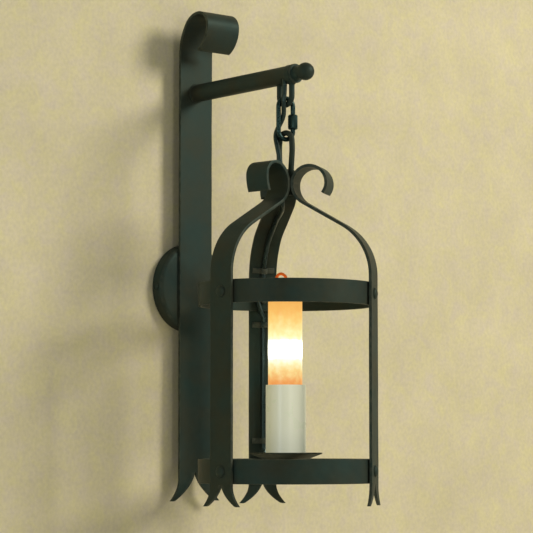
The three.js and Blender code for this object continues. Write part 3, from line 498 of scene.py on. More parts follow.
def bead(name, radius, height, place):
    """A low uneven weld bead round a rod, with the ripples that the torch leaves."""
    around, across, ripples = 48, 8, 17
    bm = bmesh.new()
    rings = []
    for k in range(around):
        angle = 2 * math.pi * k / around
        out = Vector((math.cos(angle), math.sin(angle), 0))
        uneven = 0.25 * noise.noise(out * 3.7 + Vector((radius, 0, 0)))
        swell = height * (1 + uneven + 0.08 * math.sin(angle * ripples))
        ring = []
        for j in range(across):
            turn = 2 * math.pi * j / across
            spot = out * (radius + swell * math.cos(turn)) + Vector((0, 0, swell * math.sin(turn)))
            ring.append(bm.verts.new((place @ spot) * MM))
        rings.append(ring)
    for k in range(around):
        low, high = rings[k], rings[(k + 1) % around]
        for j in range(across):
            bm.faces.new([low[j], high[j], high[(j + 1) % across], low[(j + 1) % across]])
    return settle(from_bmesh(name, bm), 80)


def refined(name, node, ease, worn_and_highlit=0.0):
    """A copy of a CAD node with its faces merged, its edges eased and its wax rubbed paler by a share,
    partly as a painted highlight.
    """
    bm = bmesh.new()
    bm.from_mesh(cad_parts[node].data)
    bmesh.ops.remove_doubles(bm, verts=bm.verts, dist=1e-6)
    bmesh.ops.dissolve_limit(bm, angle_limit=math.radians(1), verts=bm.verts, edges=bm.edges)
    wear = bm.verts.layers.float.new("wear")
    for vert in bm.verts:
        vert[wear] = worn_and_highlit
    return settle(bevelled(from_bmesh(name, bm), ease, 30))


# Geometry Nodes


def new_tree(name, inputs):
    """A Geometry Nodes tree with named inputs of name, socket type and default."""
    tree = bpy.data.node_groups.new(name, "GeometryNodeTree")
    tree.interface.new_socket(name="Geometry", in_out="INPUT", socket_type="NodeSocketGeometry")
    for label, kind, default in inputs:
        socket = tree.interface.new_socket(name=label, in_out="INPUT", socket_type=kind)
        if default is not None:
            socket.default_value = default
    tree.interface.new_socket(name="Geometry", in_out="OUTPUT", socket_type="NodeSocketGeometry")
    return tree, add(tree, "NodeGroupInput").outputs


def end_tree(tree, shape, finish):
    """Makes a tree's instances real, gives them their finish and hands them out."""
    real = add(tree, "GeometryNodeRealizeInstances", {"Geometry": shape})
    finished = add(tree, "GeometryNodeSetMaterial", {"Geometry": real.outputs[0], "Material": finish})
    add(tree, "NodeGroupOutput", {"Geometry": finished.outputs[0]})
    return tree


def rod_tree():
    """Sweeps a round section along the edges of the piece's own path."""
    tree, given = new_tree("Rod along a path", [
        ("Radius", "NodeSocketFloat", 0.0025), ("Sides", "NodeSocketInt", 16),
        ("Foot share", "NodeSocketFloat", 1.0), ("Finish", "NodeSocketMaterial", None)])
    line = add(tree, "GeometryNodeMeshToCurve", {"Mesh": given["Geometry"]})
    along = add(tree, "GeometryNodeSplineParameter").outputs["Factor"]
    taper = add(tree, "ShaderNodeMapRange", {
        "Value": along, "To Min": given["Foot share"], "To Max": 1.0})
    sized = add(tree, "GeometryNodeSetCurveRadius", {
        "Curve": line.outputs[0], "Radius": taper.outputs[0]})
    ring = add(tree, "GeometryNodeCurvePrimitiveCircle", {
        "Resolution": given["Sides"], "Radius": given["Radius"]})
    swept = add(tree, "GeometryNodeCurveToMesh", {
        "Curve": sized.outputs[0], "Profile Curve": ring.outputs[0], "Fill Caps": True,
        "Scale": add(tree, "GeometryNodeInputRadius").outputs[0]})
    return end_tree(tree, swept.outputs[0], given["Finish"])


def rivet_tree():
    """Copies one rivet round a ring at equal turns, and again at a second level."""
    low, high = RIVET_LEVELS
    tree, given = new_tree("Rivets round two rings", [
        ("Round", "NodeSocketInt", 3), ("First turn", "NodeSocketFloat", math.radians(POLAR["rear"])),
        ("Levels", "NodeSocketInt", 2), ("Low level", "NodeSocketFloat", low * MM),
        ("Level rise", "NodeSocketFloat", (high - low) * MM), ("Centre", "NodeSocketVector", HANG),
        ("Finish", "NodeSocketMaterial", None)])
    count = add(tree, "ShaderNodeMath", {0: given["Round"], 1: given["Levels"]}, operation="MULTIPLY")
    number = add(tree, "GeometryNodeInputIndex").outputs[0]
    rounds = add(tree, "ShaderNodeMath", {0: number, 1: given["Round"]}, operation="DIVIDE")
    level = add(tree, "ShaderNodeMath", {0: rounds.outputs[0]}, operation="FLOOR")
    height = add(tree, "ShaderNodeMath", {
        0: level.outputs[0], 1: given["Level rise"], 2: given["Low level"]}, operation="MULTIPLY_ADD")
    part = add(tree, "ShaderNodeMath", {0: 2 * math.pi, 1: given["Round"]}, operation="DIVIDE")
    turn = add(tree, "ShaderNodeMath", {
        0: number, 1: part.outputs[0], 2: given["First turn"]}, operation="MULTIPLY_ADD")
    lift = add(tree, "ShaderNodeCombineXYZ", {"Z": height.outputs[0]})
    spot = add(tree, "ShaderNodeVectorMath", {0: lift.outputs[0], 1: given["Centre"]}, operation="ADD")
    points = add(tree, "GeometryNodePoints", {"Count": count.outputs[0], "Position": spot.outputs[0]})
    facing = add(tree, "ShaderNodeCombineXYZ", {"Z": turn.outputs[0]})
    copies = add(tree, "GeometryNodeInstanceOnPoints", {
        "Points": points.outputs[0], "Instance": given["Geometry"], "Rotation": facing.outputs[0]})
    return end_tree(tree, copies.outputs[0], given["Finish"])


def run_tree(obj, tree, values):
    """Runs a tree on an object and keeps its result as the object's plain mesh."""
    modifier = obj.modifiers.new(tree.name, "NODES")
    modifier.node_group = tree
    for item in tree.interface.items_tree:
        if item.item_type == "SOCKET" and item.in_out == "INPUT" and item.name in values:
            modifier[item.identifier] = values[item.name]
    return settle(obj, 50.0)


def rod(name, points, radius, material, sides, foot_share=1.0):
    """A round rod along points in metres, its radius in millimetres."""
    mesh = bpy.data.meshes.new(name)
    mesh.from_pydata(points, [(k, k + 1) for k in range(len(points) - 1)], [])
    return run_tree(linked(name, mesh), TREES["rod"], {
        "Radius": radius * MM, "Sides": sides, "Foot share": foot_share, "Finish": material})


TREES = {}
FINISHES = {}


# Materials


def black_wax_iron(props):
    """Forged mild steel under black wax: soft satin, slate with brown patches, edges paler from rubbed wax
    and a painted highlight.
    """
    made, tree = new_material("Waxed forged mild steel")
    coords = add(tree, "ShaderNodeTexCoord").outputs["Object"]
    # Wax lies in patches of about 45 mm and clouds of about 9 mm
    patches = add(tree, "ShaderNodeTexNoise", {
        "Vector": coords, "Scale": 1 / (45 * MM), "Detail": 5.0, "Roughness": 0.6})
    clouds = add(tree, "ShaderNodeTexNoise", {
        "Vector": coords, "Scale": 1 / (9 * MM), "Detail": 3.0, "Roughness": 0.55})
    warmth = add(tree, "ShaderNodeMapRange", {
        "Value": patches.outputs["Fac"], "From Min": 0.35, "From Max": 0.65})
    wax = add(tree, "ShaderNodeMix", {
        "Factor": warmth.outputs[0], 6: tuple(props.wax_cool) + (1.0,),
        7: tuple(props.wax_warm) + (1.0,)}, data_type="RGBA")
    shade = add(tree, "ShaderNodeMapRange", {
        "Value": clouds.outputs["Fac"], "From Min": 0.3, "From Max": 0.7, "To Min": 0.9, "To Max": 1.1})
    toned = add(tree, "ShaderNodeMix", {
        "Factor": 1.0, 6: wax.outputs[2], 7: shade.outputs[0]}, data_type="RGBA", blend_type="MULTIPLY")
    # Edges are paler in spots of about 6 mm: rubbed wax and a painted highlight
    worn_and_highlit = add(tree, "ShaderNodeAttribute", attribute_name="wear")
    spots = add(tree, "ShaderNodeTexNoise", {"Vector": coords, "Scale": 1 / (6 * MM), "Detail": 3.0})
    edge_breaks = add(tree, "ShaderNodeMapRange", {
        "Value": spots.outputs["Fac"], "From Min": 0.35, "From Max": 0.7})
    rubbed_and_highlit = add(tree, "ShaderNodeMath", {0: worn_and_highlit.outputs["Fac"], 1: edge_breaks.outputs[0]}, operation="MULTIPLY")
    colour = add(tree, "ShaderNodeMix", {
        "Factor": rubbed_and_highlit.outputs[0], 6: toned.outputs[2], 7: tuple(props.rubbed_edge_and_highlight) + (1.0,)},
        data_type="RGBA")
    # Hammer marks of about 14 mm under a scale texture of 1.6 mm, drawn coarser than real to show
    marks = add(tree, "ShaderNodeTexVoronoi", {
        "Vector": coords, "Scale": 1 / (14 * MM)}, feature="SMOOTH_F1")
    scale = add(tree, "ShaderNodeTexNoise", {"Vector": coords, "Scale": 1 / (1.6 * MM), "Detail": 3.0})
    dents = add(tree, "ShaderNodeBump", {
        "Height": marks.outputs["Distance"], "Strength": 0.16, "Distance": 0.5 * MM})
    skin = add(tree, "ShaderNodeBump", {
        "Height": scale.outputs["Fac"], "Strength": 0.12, "Distance": 0.2 * MM,
        "Normal": dents.outputs[0]})
    gloss = add(tree, "ShaderNodeMapRange", {
        "Value": clouds.outputs["Fac"], "From Min": 0.3, "From Max": 0.7, "To Min": 0.48, "To Max": 0.56})
    shader = add(tree, "ShaderNodeBsdfPrincipled", {
        "Base Color": colour.outputs[2], "Roughness": gloss.outputs[0], "Specular IOR Level": 0.22,
        "Specular Tint": linear("#c4fff0"), "Normal": skin.outputs[0]})
    add(tree, "ShaderNodeOutputMaterial", {"Surface": shader.outputs[0]})
    return made


def speckled(name, colour, other, size, roughness, metallic=0.0, bump=0.2, **sockets):
    """A finish of two near colours in patches of a size, with a fine skin, in millimetres."""
    made, tree = new_material(name)
    coords = add(tree, "ShaderNodeTexCoord").outputs["Object"]
    patches = add(tree, "ShaderNodeTexNoise", {"Vector": coords, "Scale": 1 / (size * MM), "Detail": 4.0})
    share = add(tree, "ShaderNodeMapRange", {
        "Value": patches.outputs["Fac"], "From Min": 0.35, "From Max": 0.65})
    mixed = add(tree, "ShaderNodeMix", {
        "Factor": share.outputs[0], 6: linear(colour), 7: linear(other)}, data_type="RGBA")
    # The skin's grain is a quarter of the patches' size
    skin = add(tree, "ShaderNodeTexNoise", {"Vector": coords, "Scale": 4 / (size * MM), "Detail": 2.0})
    bumped = add(tree, "ShaderNodeBump", {
        "Height": skin.outputs["Fac"], "Strength": 0.2, "Distance": bump * MM})
    gloss = add(tree, "ShaderNodeMapRange", {
        "Value": patches.outputs["Fac"], "From Min": 0.3, "From Max": 0.7,
        "To Min": roughness - 0.05, "To Max": roughness + 0.05})
    shader = add(tree, "ShaderNodeBsdfPrincipled", {
        "Base Color": mixed.outputs[2], "Metallic": metallic, "Roughness": gloss.outputs[0],
        "Normal": bumped.outputs[0], **sockets})
    add(tree, "ShaderNodeOutputMaterial", {"Surface": shader.outputs[0]})
    return made


def lit_wax(props):
    """Cast resin candle lit by the lamp in it: white at the lamp, amber above, orange at the foot."""
    made, tree = new_material("Translucent cast resin, lit")
    coords = add(tree, "ShaderNodeTexCoord").outputs["Object"]
    height = add(tree, "ShaderNodeSeparateXYZ", {0: coords}).outputs["Z"]
    share = add(tree, "ShaderNodeMapRange", {
        "Value": height, "From Min": -124 * MM, "From Max": -6 * MM}).outputs[0]
    # The resin is mottled in clouds of about 6 mm
    clouds = add(tree, "ShaderNodeTexNoise", {"Vector": coords, "Scale": 1 / (6 * MM), "Detail": 4.0})
    mottle = add(tree, "ShaderNodeMath", {0: clouds.outputs["Fac"], 1: 0.5}, operation="SUBTRACT")
    drift = add(tree, "ShaderNodeMath", {
        0: mottle.outputs[0], 1: 0.16, 2: share}, operation="MULTIPLY_ADD").outputs[0]
    light = [(at, (value / GLOW_PEAK,) * 3 + (1.0,)) for at, value in GLOW_LIGHT]
    colours = [(at, linear(code)) for at, code in GLOW_COLOURS]
    ramps = []
    for along, stops in ((drift, colours), (share, light)):
        ramp = add(tree, "ShaderNodeValToRGB", {"Fac": along})
        while len(ramp.color_ramp.elements) < len(stops):
            ramp.color_ramp.elements.new(0.5)
        for element, (at, colour) in zip(ramp.color_ramp.elements, stops):
            element.position = at
            element.color = colour
        ramps.append(ramp.outputs[0])
    strength = add(tree, "ShaderNodeMath", {
        0: ramps[1], 1: GLOW_PEAK * props.candle_power}, operation="MULTIPLY")
    shader = add(tree, "ShaderNodeBsdfPrincipled", {
        "Base Color": linear("#4a2c12"), "Roughness": 0.4,
        "Emission Color": ramps[0], "Emission Strength": strength.outputs[0]})
    add(tree, "ShaderNodeOutputMaterial", {"Surface": shader.outputs[0]})
    return made


def plaster(props):
    """Matt limewashed wall, faintly mottled; its back is clear, so the lantern shows from behind."""
    made, tree = new_material("Limewashed plaster")
    coords = add(tree, "ShaderNodeTexCoord").outputs["Object"]
    # The wall lightens and darkens in clouds of about 90 mm
    clouds = add(tree, "ShaderNodeTexNoise", {
        "Vector": coords, "Scale": 1 / (90 * MM), "Detail": 5.0, "Roughness": 0.65})
    share = add(tree, "ShaderNodeMapRange", {
        "Value": clouds.outputs["Fac"], "From Min": 0.3, "From Max": 0.7})
    tone = add(tree, "ShaderNodeMix", {
        "Factor": share.outputs[0], 6: tuple(c * 0.93 for c in props.wall_colour) + (1.0,),
        7: tuple(min(1.0, c * 1.06) for c in props.wall_colour) + (1.0,)}, data_type="RGBA")
    # Washes of ochre and of rose-grey lie over each other in strokes of about 22 mm
    strokes = add(tree, "ShaderNodeTexNoise", {
        "Vector": coords, "Scale": 1 / (22 * MM), "Detail": 6.0, "Roughness": 0.75, "Distortion": 0.6})
    laid = add(tree, "ShaderNodeMapRange", {
        "Value": strokes.outputs["Fac"], "From Min": 0.36, "From Max": 0.64})
    wash = add(tree, "ShaderNodeMix", {
        "Factor": laid.outputs[0], 6: (1.022, 1.025, 0.905, 1.0), 7: (0.973, 0.957, 1.075, 1.0)},
        data_type="RGBA")
    # The lime's grain is drawn at 4 mm, coarser than real to show
    grain = add(tree, "ShaderNodeTexNoise", {"Vector": coords, "Scale": 1 / (4 * MM), "Detail": 2.0})
    speck = add(tree, "ShaderNodeMapRange", {
        "Value": grain.outputs["Fac"], "From Min": 0.3, "From Max": 0.7, "To Min": 0.95, "To Max": 1.05})
    grained = add(tree, "ShaderNodeMix", {
        "Factor": 1.0, 6: wash.outputs[2], 7: speck.outputs[0]}, data_type="RGBA", blend_type="MULTIPLY")
    colour = add(tree, "ShaderNodeMix", {
        "Factor": 1.0, 6: tone.outputs[2], 7: grained.outputs[2]}, data_type="RGBA", blend_type="MULTIPLY")
    front = add(tree, "ShaderNodeBsdfDiffuse", {"Color": colour.outputs[2]})
    back = add(tree, "ShaderNodeBsdfTransparent")
    side = add(tree, "ShaderNodeNewGeometry").outputs["Backfacing"]
    mixed = add(tree, "ShaderNodeMixShader", {0: side, 1: front.outputs[0], 2: back.outputs[0]})
    add(tree, "ShaderNodeOutputMaterial", {"Surface": mixed.outputs[0]})
    return made


def make_finishes():
    """Makes every finish; the comment above each says what it gives the eye."""
    props = bpy.context.scene.lantern_finish
    # Satin black that turns from slate to brown, paler at the edges where hands have rubbed the wax and a
    # highlight is painted
    FINISHES["iron"] = black_wax_iron(props)
    # A cloudy shell that glows from the lamp inside it
    FINISHES["glow"] = lit_wax(props)
    # Smooth cream with the soft gloss of a thin clear film, and a painted glow all over that brightens it
    # like light from the lamp above
    FINISHES["card"] = speckled(
        "Cream coated board", "#ebeeda", "#eff1df", 20, 0.3, bump=0.1,
        **{"Emission Color": linear("#cccfb2"), "Emission Strength": 0.26})
    # Dull orange thread with a painted glow, as if light came through it
    FINISHES["wick"] = speckled(
        "Dyed cotton wick", "#e0641a", "#ea7a26", 3, 0.8,
        **{"Emission Color": linear("#e8620e"), "Emission Strength": 0.22})
    # Near-black soft plastic, smooth, with a cool sheen along its length
    FINISHES["sheath"] = speckled(
        "Black PVC flex sheath", "#101817", "#1a2422", 10, 0.3, bump=0.03,
        **{"Specular Tint": linear("#d4fff8")})
    # Dark oiled metal, smoother than the iron, with cool glints
    FINISHES["link"] = speckled(
        "Oil-blacked steel wire", "#0f1b1a", "#1a2a28", 6, 0.27, 0.3,
        **{"Specular Tint": linear("#c0fff8")})
    # Dull silver-grey metal, faintly mottled
    FINISHES["zinc"] = speckled("Zinc-plated steel", "#a7a79f", "#8e8e86", 8, 0.34, 0.9)
    # Plain black, between matt and gloss
    FINISHES["black"] = speckled("Black moulded phenolic", "#151515", "#1d1c1b", 10, 0.45)
    # Plain off-white, nearly matt
    FINISHES["white"] = speckled("White moulded nylon", "#dedfd8", "#d3d4cc", 10, 0.5)
    # Glossy milk-white glass, evenly lit
    FINISHES["opal"] = speckled(
        "Opal lamp glass", "#f4efe0", "#efe8d6", 20, 0.15,
        **{"Emission Color": linear("#ffe2a8"), "Emission Strength": 1.0})


# Properties


class LanternFinish(bpy.types.PropertyGroup):
    wax_cool: FloatVectorProperty(
        name="Wax, cool patches", description="Colour of the black wax where it looks slate",
        subtype="COLOR", min=0, max=1, default=linear("#25322f")[:3])
    wax_warm: FloatVectorProperty(
        name="Wax, warm patches", description="Colour of the black wax where it looks brown",
        subtype="COLOR", min=0, max=1, default=linear("#312f23")[:3])
    # The paler edge colour is rubbed wax and a painted highlight
    rubbed_edge_and_highlight: FloatVectorProperty(
        name="Rubbed edge and highlight", description="Colour of the edges where the wax is rubbed thin",
        subtype="COLOR", min=0, max=1, default=linear("#45463c")[:3])
    candle_power: FloatProperty(
        name="Candle power", description="How strongly the lit candle shines", min=0, max=10, default=1.0)


class LanternSizes(bpy.types.PropertyGroup):
    flex_diameter: FloatProperty(
        name="Flex diameter", description="Outside diameter of the round flex",
        min=0.002, max=0.01, default=0.005, unit="LENGTH")
    rivet_head: FloatProperty(
        name="Rivet head", description="Diameter of a rivet's domed head",
        min=0.004, max=0.02, default=0.012, unit="LENGTH")
    wire_sides: IntProperty(
        name="Wire sides", description="Number of faces round each wire", min=8, max=32, default=18)


class LanternStage(bpy.types.PropertyGroup):
    wall_colour: FloatVectorProperty(
        name="Wall", description="Colour of the wall behind the lantern",
        subtype="COLOR", min=0, max=1, default=linear("#d3ccad")[:3])
    key_power: FloatProperty(
        name="Key light", description="Power of the soft light from the right",
        min=0, max=500, default=90.0)
    front_power: FloatProperty(
        name="Front light", description="Power of the light beside the camera",
        min=0, max=500, default=8.0)
    fill_power: FloatProperty(
        name="Fill light", description="Power of the light from the far left",
        min=0, max=500, default=15.0)


# Operators


class PieceOperator:
    bl_options = {"REGISTER", "UNDO"}


class LANTERN_OT_finishes(PieceOperator, bpy.types.Operator):
    """Make the finishes and the node trees that the pieces use"""
    bl_idname = "lantern.finishes"
    bl_label = "Finishes"

    def execute(self, context):
        TREES["rod"] = rod_tree()
        TREES["rivets"] = rivet_tree()
        make_finishes()
        return {"FINISHED"}


def flex_points():
    """The four stretches of the flex as routes in metres."""
    feed = smooth_route([Vector((x, -out, z)) * MM for x, out, z in FLEX_FEED], FLEX_STEP * MM)
    drop = hung(FLEX_DROP, LINK["turn"], FLEX_STEP)
    upper = [p for p in drop if p.z >= FLEX_DROP_SPLIT * MM]
    lower = [p for p in drop if p.z <= FLEX_DROP_SPLIT * MM]
    lower.insert(0, upper[-1].copy())
    return feed, upper, lower, hung(FLEX_BAR, POLAR["rear"], FLEX_STEP)


class LANTERN_OT_flex(PieceOperator, bpy.types.Operator):
    """Run the round flex through the arm, down the chain and along the rear bar"""
    bl_idname = "lantern.flex"
    bl_label = "Flex"

    def execute(self, context):
        diameter = context.scene.lantern_sizes.flex_diameter
        radius = diameter / 2 / MM
        feed, upper, lower, rear = flex_points()
        sheath = FINISHES["sheath"]
        dress(rod("flex_in_arm", feed, radius, sheath, 14), sheath, "bracket", "sheath", "flex_feed")
        dress(rod("flex_on_bar", rear, radius, sheath, 14), sheath, "lantern", "sheath", "flex_lower")
        for name, points, node, bodies in (
                ("flex_free_upper", upper, "flex_upper_drop", ("bracket", "screw_link")),
                ("flex_free_lower", lower, "flex_lower_drop", ("screw_link", "lantern"))):
            piece = rod(name, points, radius, sheath, 16)
            piece.data.materials.clear()
            piece.data.materials.append(sheath)
            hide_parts(node)
            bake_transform(piece)
        return {"FINISHED"}


class LANTERN_OT_strap_and_bars(PieceOperator, bpy.types.Operator):
    """Forge the wall strap and the three lantern bars"""
    bl_idname = "lantern.strap_and_bars"
    bl_label = "Strap and bars"

    def execute(self, context):
        iron = FINISHES["iron"]
        strap = forged_bar("strap_forged", STRAP, turn_by(-90), STRAP_SEED)
        dress(strap, iron, "bracket", "iron", "wall_strap")
        for k, (side, degrees) in enumerate(POLAR.items()):
            scroll = LEFT_SCROLL if side == "left" else SCROLL
            form = {**BAR, "bends": BAR["bends"] + scroll}
            bar = forged_bar(f"bar_{side}_forged", form, LANTERN_PLACE @ turn_by(degrees),
                             BAR_SEED + BAR_SEED_STEP * k)
            dress(bar, iron, "lantern", "iron", f"bar_{side}")
        return {"FINISHED"}


class LANTERN_OT_cup(PieceOperator, bpy.types.Operator):
    """Turn the wall cup and its two side screws"""
    bl_idname = "lantern.cup"
    bl_label = "Wall cup"

    def execute(self, context):
        iron = FINISHES["iron"]
        radius, depth, wall, shoulder, lip = CUP.values()
        centre = (radius - shoulder, depth - shoulder)
        # The cup's shoulder and lip get the mask for rubbed wax with a painted highlight
        outer = [(x, y, 0.6 if k in (3, 4, 5) else 0.0)
                 for k, (x, y) in enumerate(arc(centre, shoulder, 0, 90, 8))]
        outline = [(radius - lip, 0.0, 1.0), (radius, lip, 1.0), (radius, 2.0), *outer,
                   (30.0, depth), (12.0, depth), (0.0, depth), (0.0, depth - wall),
                   *arc(centre, shoulder - wall, 90, 0, 6),
                   (radius - wall, lip), (radius - wall + lip, 0.0, 1.0)]
        cup = settle(turned("cup_turned", outline, 96, turn_by(90, "X")), 30)
        dress(cup, iron, "bracket", "iron", "wall_cup")
        for side, sign in (("left", -1), ("right", 1)):
            spot = Vector((sign * CUP_SCREW["out"], CUP_SCREW["level"], 0))
            screw = turned(f"cup_screw_{side}_domed", CUP_SCREW_OUTLINE, 24,
                           Matrix.Translation(spot) @ turn_by(90 * sign, "Y"))
            spot.x = sign * CUP_SCREW["slot_out"]
            slot = bmesh.new()
            bmesh.ops.create_cube(slot, size=1.0, matrix=Matrix.LocRotScale(
                spot * MM, None, Vector(CUP_SCREW["slot"]) * MM))
            cut_away(screw, from_bmesh("slot", slot), 30)
            dress(screw, iron, "bracket", "iron", f"cup_screw_{side}")
        return {"FINISHED"}


class LANTERN_OT_arm(PieceOperator, bpy.types.Operator):
    """Make the arm, its weld, its finial and the staple under it"""
    bl_idname = "lantern.arm"
    bl_label = "Arm"

    def execute(self, context):
        iron = FINISHES["iron"]
        place = Matrix.Translation(ARM["start"]) @ turn_by(90 - ARM["rise"], "X")
        tube, bore, band, start, end = (ARM[key] for key in ("radius", "bore", "band", "gap", "length"))
        foot = end - ARM["band_length"]
        outline = [(bore, end), (bore, start), (tube, start)]
        outline += [(tube, ARM["station"] * k) for k in range(1, 1 + int(foot // ARM["station"]))]
        # The band's rounded corners get the mask for rubbed wax with a painted highlight
        outline += [(tube, foot), (band - 0.3, foot, 1.0), (band, foot + 0.3, 1.0), (band, foot + 2),
                    (band, end - 2), (band, end - 0.4, 1.0), (band - 0.4, end, 1.0)]
        arm = turned("arm_drawn", outline, 48, place)
        leaving = flex_points()[0][-ARM["hole_points"]:]
        cut_away(arm, rod("way", leaving, ARM["hole"], FINISHES["sheath"], 24), 40)
        dress(arm, iron, "bracket", "iron", "arm_tube")

        seat = math.acos(BALL["seat"] / BALL["radius"])
        centre = BALL["foot"] + BALL["radius"] * math.sin(seat)
        round_part = arc((0.0, centre), BALL["radius"], 4 - math.degrees(seat), 90, 20)
        outline = FINIAL_OUTLINE + [(max(x, 0.0), y) for x, y in round_part]
        ball = turned("finial_turned", outline, 48, place @ Matrix.Translation((0, 0, end + FINIAL_GAP)))
        dress(settle(ball, 32), iron, "bracket", "iron", "arm_finial")

        weld = bead("arm_weld", ARM_WELD["radius"], ARM_WELD["height"],
                    place @ Matrix.Translation((0, 0, ARM_WELD["lift"])))
        dress(weld, iron, "bracket", "iron")

        half, top = STAPLE["half"], STAPLE["top"]
        arch = STAPLE["middle"] + half
        path = [(-half, top), (-half, (top + arch) / 2), *arc((0, arch), half, 180, 360, ARCH_STEPS),
                (half, (top + arch) / 2), (half, top)]
        points = hung([(0, y, z) for y, z in path], 0, WIRE_STEP)
        staple = rod("staple_bent", points, STAPLE["wire"], iron, context.scene.lantern_sizes.wire_sides)
        dress(staple, iron, "bracket", "iron", "arm_staple")
        for name, y in (("staple_weld_rear", half), ("staple_weld_front", -half)):
            spot = LANTERN_PLACE @ Matrix.Translation((0, y, STAPLE_WELD["level"]))
            weld = bead(name, STAPLE_WELD["radius"], STAPLE_WELD["height"], spot)
            dress(weld, iron, "bracket", "iron")
        return {"FINISHED"}


def loop_leg(start, side, arch):
    """One leg of the crown loop from its foot up, first straight and then spreading to the arch."""
    made = []
    for share in LOOP_SHARES:
        spread = max(0.0, (share - LOOP["spread_from"]) / (1 - LOOP["spread_from"]))
        eased = spread * spread * (3 - 2 * spread)
        bulge = side * LOOP["bulge"] * math.sin(math.pi * share ** 3)
        rise = (arch - LOOP["below_arch"] - LOOP["foot"]) * share / LOOP_SHARES[-1]
        made.append((start + (side * LOOP["half"] - start) * eased + bulge, LOOP["foot"] + rise))
    return made


class LANTERN_OT_chain(PieceOperator, bpy.types.Operator):
    """Bend the screw link and the crown loop, and make the link's sleeve nut"""
    bl_idname = "lantern.chain"
    bl_label = "Chain"

    def execute(self, context):
        sides = context.scene.lantern_sizes.wire_sides
        steel, iron = FINISHES["link"], FINISHES["iron"]
        half = LINK["half"]
        low, high = LINK["foot"] + half, LINK["top"] - half
        end, start = LINK["opening"]
        path = [(half, start), (half, (start + high) / 2), *arc((0, high), half, 0, 180, ARCH_STEPS),
                (-half, (high + low) / 2), *arc((0, low), half, 180, 360, ARCH_STEPS), (half, end)]
        points = hung([(x, 0, z) for x, z in path], LINK["turn"], WIRE_STEP)
        link = rod("link_bent", points, LINK["wire"], steel, sides)
        dress(link, steel, "screw_link", "link_steel", "quick_link")
        nut = refined("link_nut_milled", "quick_link_nut", NUT_EDGE)
        dress(nut, steel, "link_nut", "link_steel", "quick_link_nut")

        arch = LOOP["top"] - LOOP["half"]
        path = [*loop_leg(LOOP["right_foot"], 1, arch), *arc((0, arch), LOOP["half"], 0, 180, ARCH_STEPS),
                *reversed(loop_leg(LOOP["left_foot"], -1, arch))]
        points = hung([(x, 0, z) for x, z in path], LOOP["turn"], WIRE_STEP)
        loop = rod("crown_loop_bent", points, LOOP["wire"], iron, sides)
        dress(loop, iron, "lantern", "iron", "crown_loop")
        return {"FINISHED"}


class LANTERN_OT_rings(PieceOperator, bpy.types.Operator):
    """Roll the two rings and set the six rivets"""
    bl_idname = "lantern.rings"
    bl_label = "Rings and rivets"

    def execute(self, context):
        iron = FINISHES["iron"]
        for level, (low, high) in RING_LEVELS.items():
            outline = eased_band(RING["inner"], RING["outer"], low, high, RING["edge"])
            band = settle(turned(f"{level}_ring_rolled", outline, 160, LANTERN_PLACE), 40)
            dress(band, iron, "lantern", "iron", f"{level}_ring")
        head = context.scene.lantern_sizes.rivet_head / 2 / MM
        out, rim, rise = RIVET["outer"], RIVET["rim"], RIVET["rise"]
        outline = [(radius, RIVET["inner"] + z, *worn_and_highlit) for radius, z, *worn_and_highlit in RIVET_TAIL]
        outline += [(RIVET["shank"], out), (head - rim, out, 1.0)]
        # The dome's rim gets the mask for rubbed wax with a painted highlight
        for degrees in range(0, 90, 10):
            angle = math.radians(degrees)
            outline.append((head * math.cos(angle), out + rim + rise * math.sin(angle),
                            0.6 if degrees < 20 else 0.0))
        outline.append((0.0, out + rim + rise))
        rivets = turned("rivets_set", outline, 28, turn_by(90, "Y"))
        run_tree(rivets, TREES["rivets"], {"Finish": iron})
        names = [f"rivet_{level}_{side}" for level in RING_LEVELS for side in POLAR]
        dress(rivets, iron, "lantern", "iron", *names)
        return {"FINISHED"}


class LANTERN_OT_pan(PieceOperator, bpy.types.Operator):
    """Spin the drip pan and make the boss, the strut and the flex clips under and beside it"""
    bl_idname = "lantern.pan"
    bl_label = "Drip pan"

    def execute(self, context):
        iron = FINISHES["iron"]
        pan = settle(turned("pan_spun", PAN_OUTLINE, 96, LANTERN_PLACE), 50)
        dress(pan, iron, "lantern", "iron", "drip_pan")
        for name, node in (("boss_drilled", "side_entry_boss"), ("strut_bent", "cross_strut")):
            dress(refined(name, node, BLOCK_EDGE), iron, "lantern", "iron", node)
        for node in ("flex_clip_1", "flex_clip_2", "flex_clip_3"):
            # The clips get the pale mask nearly all over: rubbed wax and a painted highlight
            clip = refined(f"{node}_pressed", node, CLIP_EDGE, CLIP_WEAR_AND_HIGHLIGHT)
            dress(clip, iron, "lantern", "iron", node)
        return {"FINISHED"}


class LANTERN_OT_candle(PieceOperator, bpy.types.Operator):
    """Make the candle sleeve, the lit tube and its wick"""
    bl_idname = "lantern.candle"
    bl_label = "Candle"

    def execute(self, context):
        sleeve = settle(turned("sleeve_rolled", eased_band(*SLEEVE.values()), 96, LANTERN_PLACE), 40)
        dress(sleeve, FINISHES["card"], "sleeve", "sleeve_card", "candle_sleeve")

        towards = math.radians(GLOW["towards"])
        side = Vector((math.cos(towards), math.sin(towards), 0))
        centre = HANG / MM + side * GLOW["off"]
        radius, rim = GLOW["radius"], GLOW["rim"]
        outline = GLOW_FOOT + [(radius, z) for z in GLOW_LEVELS]
        outline += arc((radius - rim, GLOW["rim_level"]), rim, 0, 90, 6) + GLOW_TOP
        tube = settle(turned("glow_tube_cast", outline, 72, Matrix.Translation(centre)), 40)
        dress(tube, FINISHES["glow"], "glow", "glow_shell", "glow_tube")

        points = [centre + side * across * WICK["reach"] + Vector((0, 0, WICK["foot"] + up * WICK["rise"]))
                  for across, up in WICK_CURL]
        points = smooth_route([point * MM for point in points], WICK_STEP * MM)
        wick = rod("wick_curled", points, WICK["radius"], FINISHES["wick"], 14, WICK["foot_share"])
        dress(wick, FINISHES["wick"], "glow", "wick", "wick")
        return {"FINISHED"}


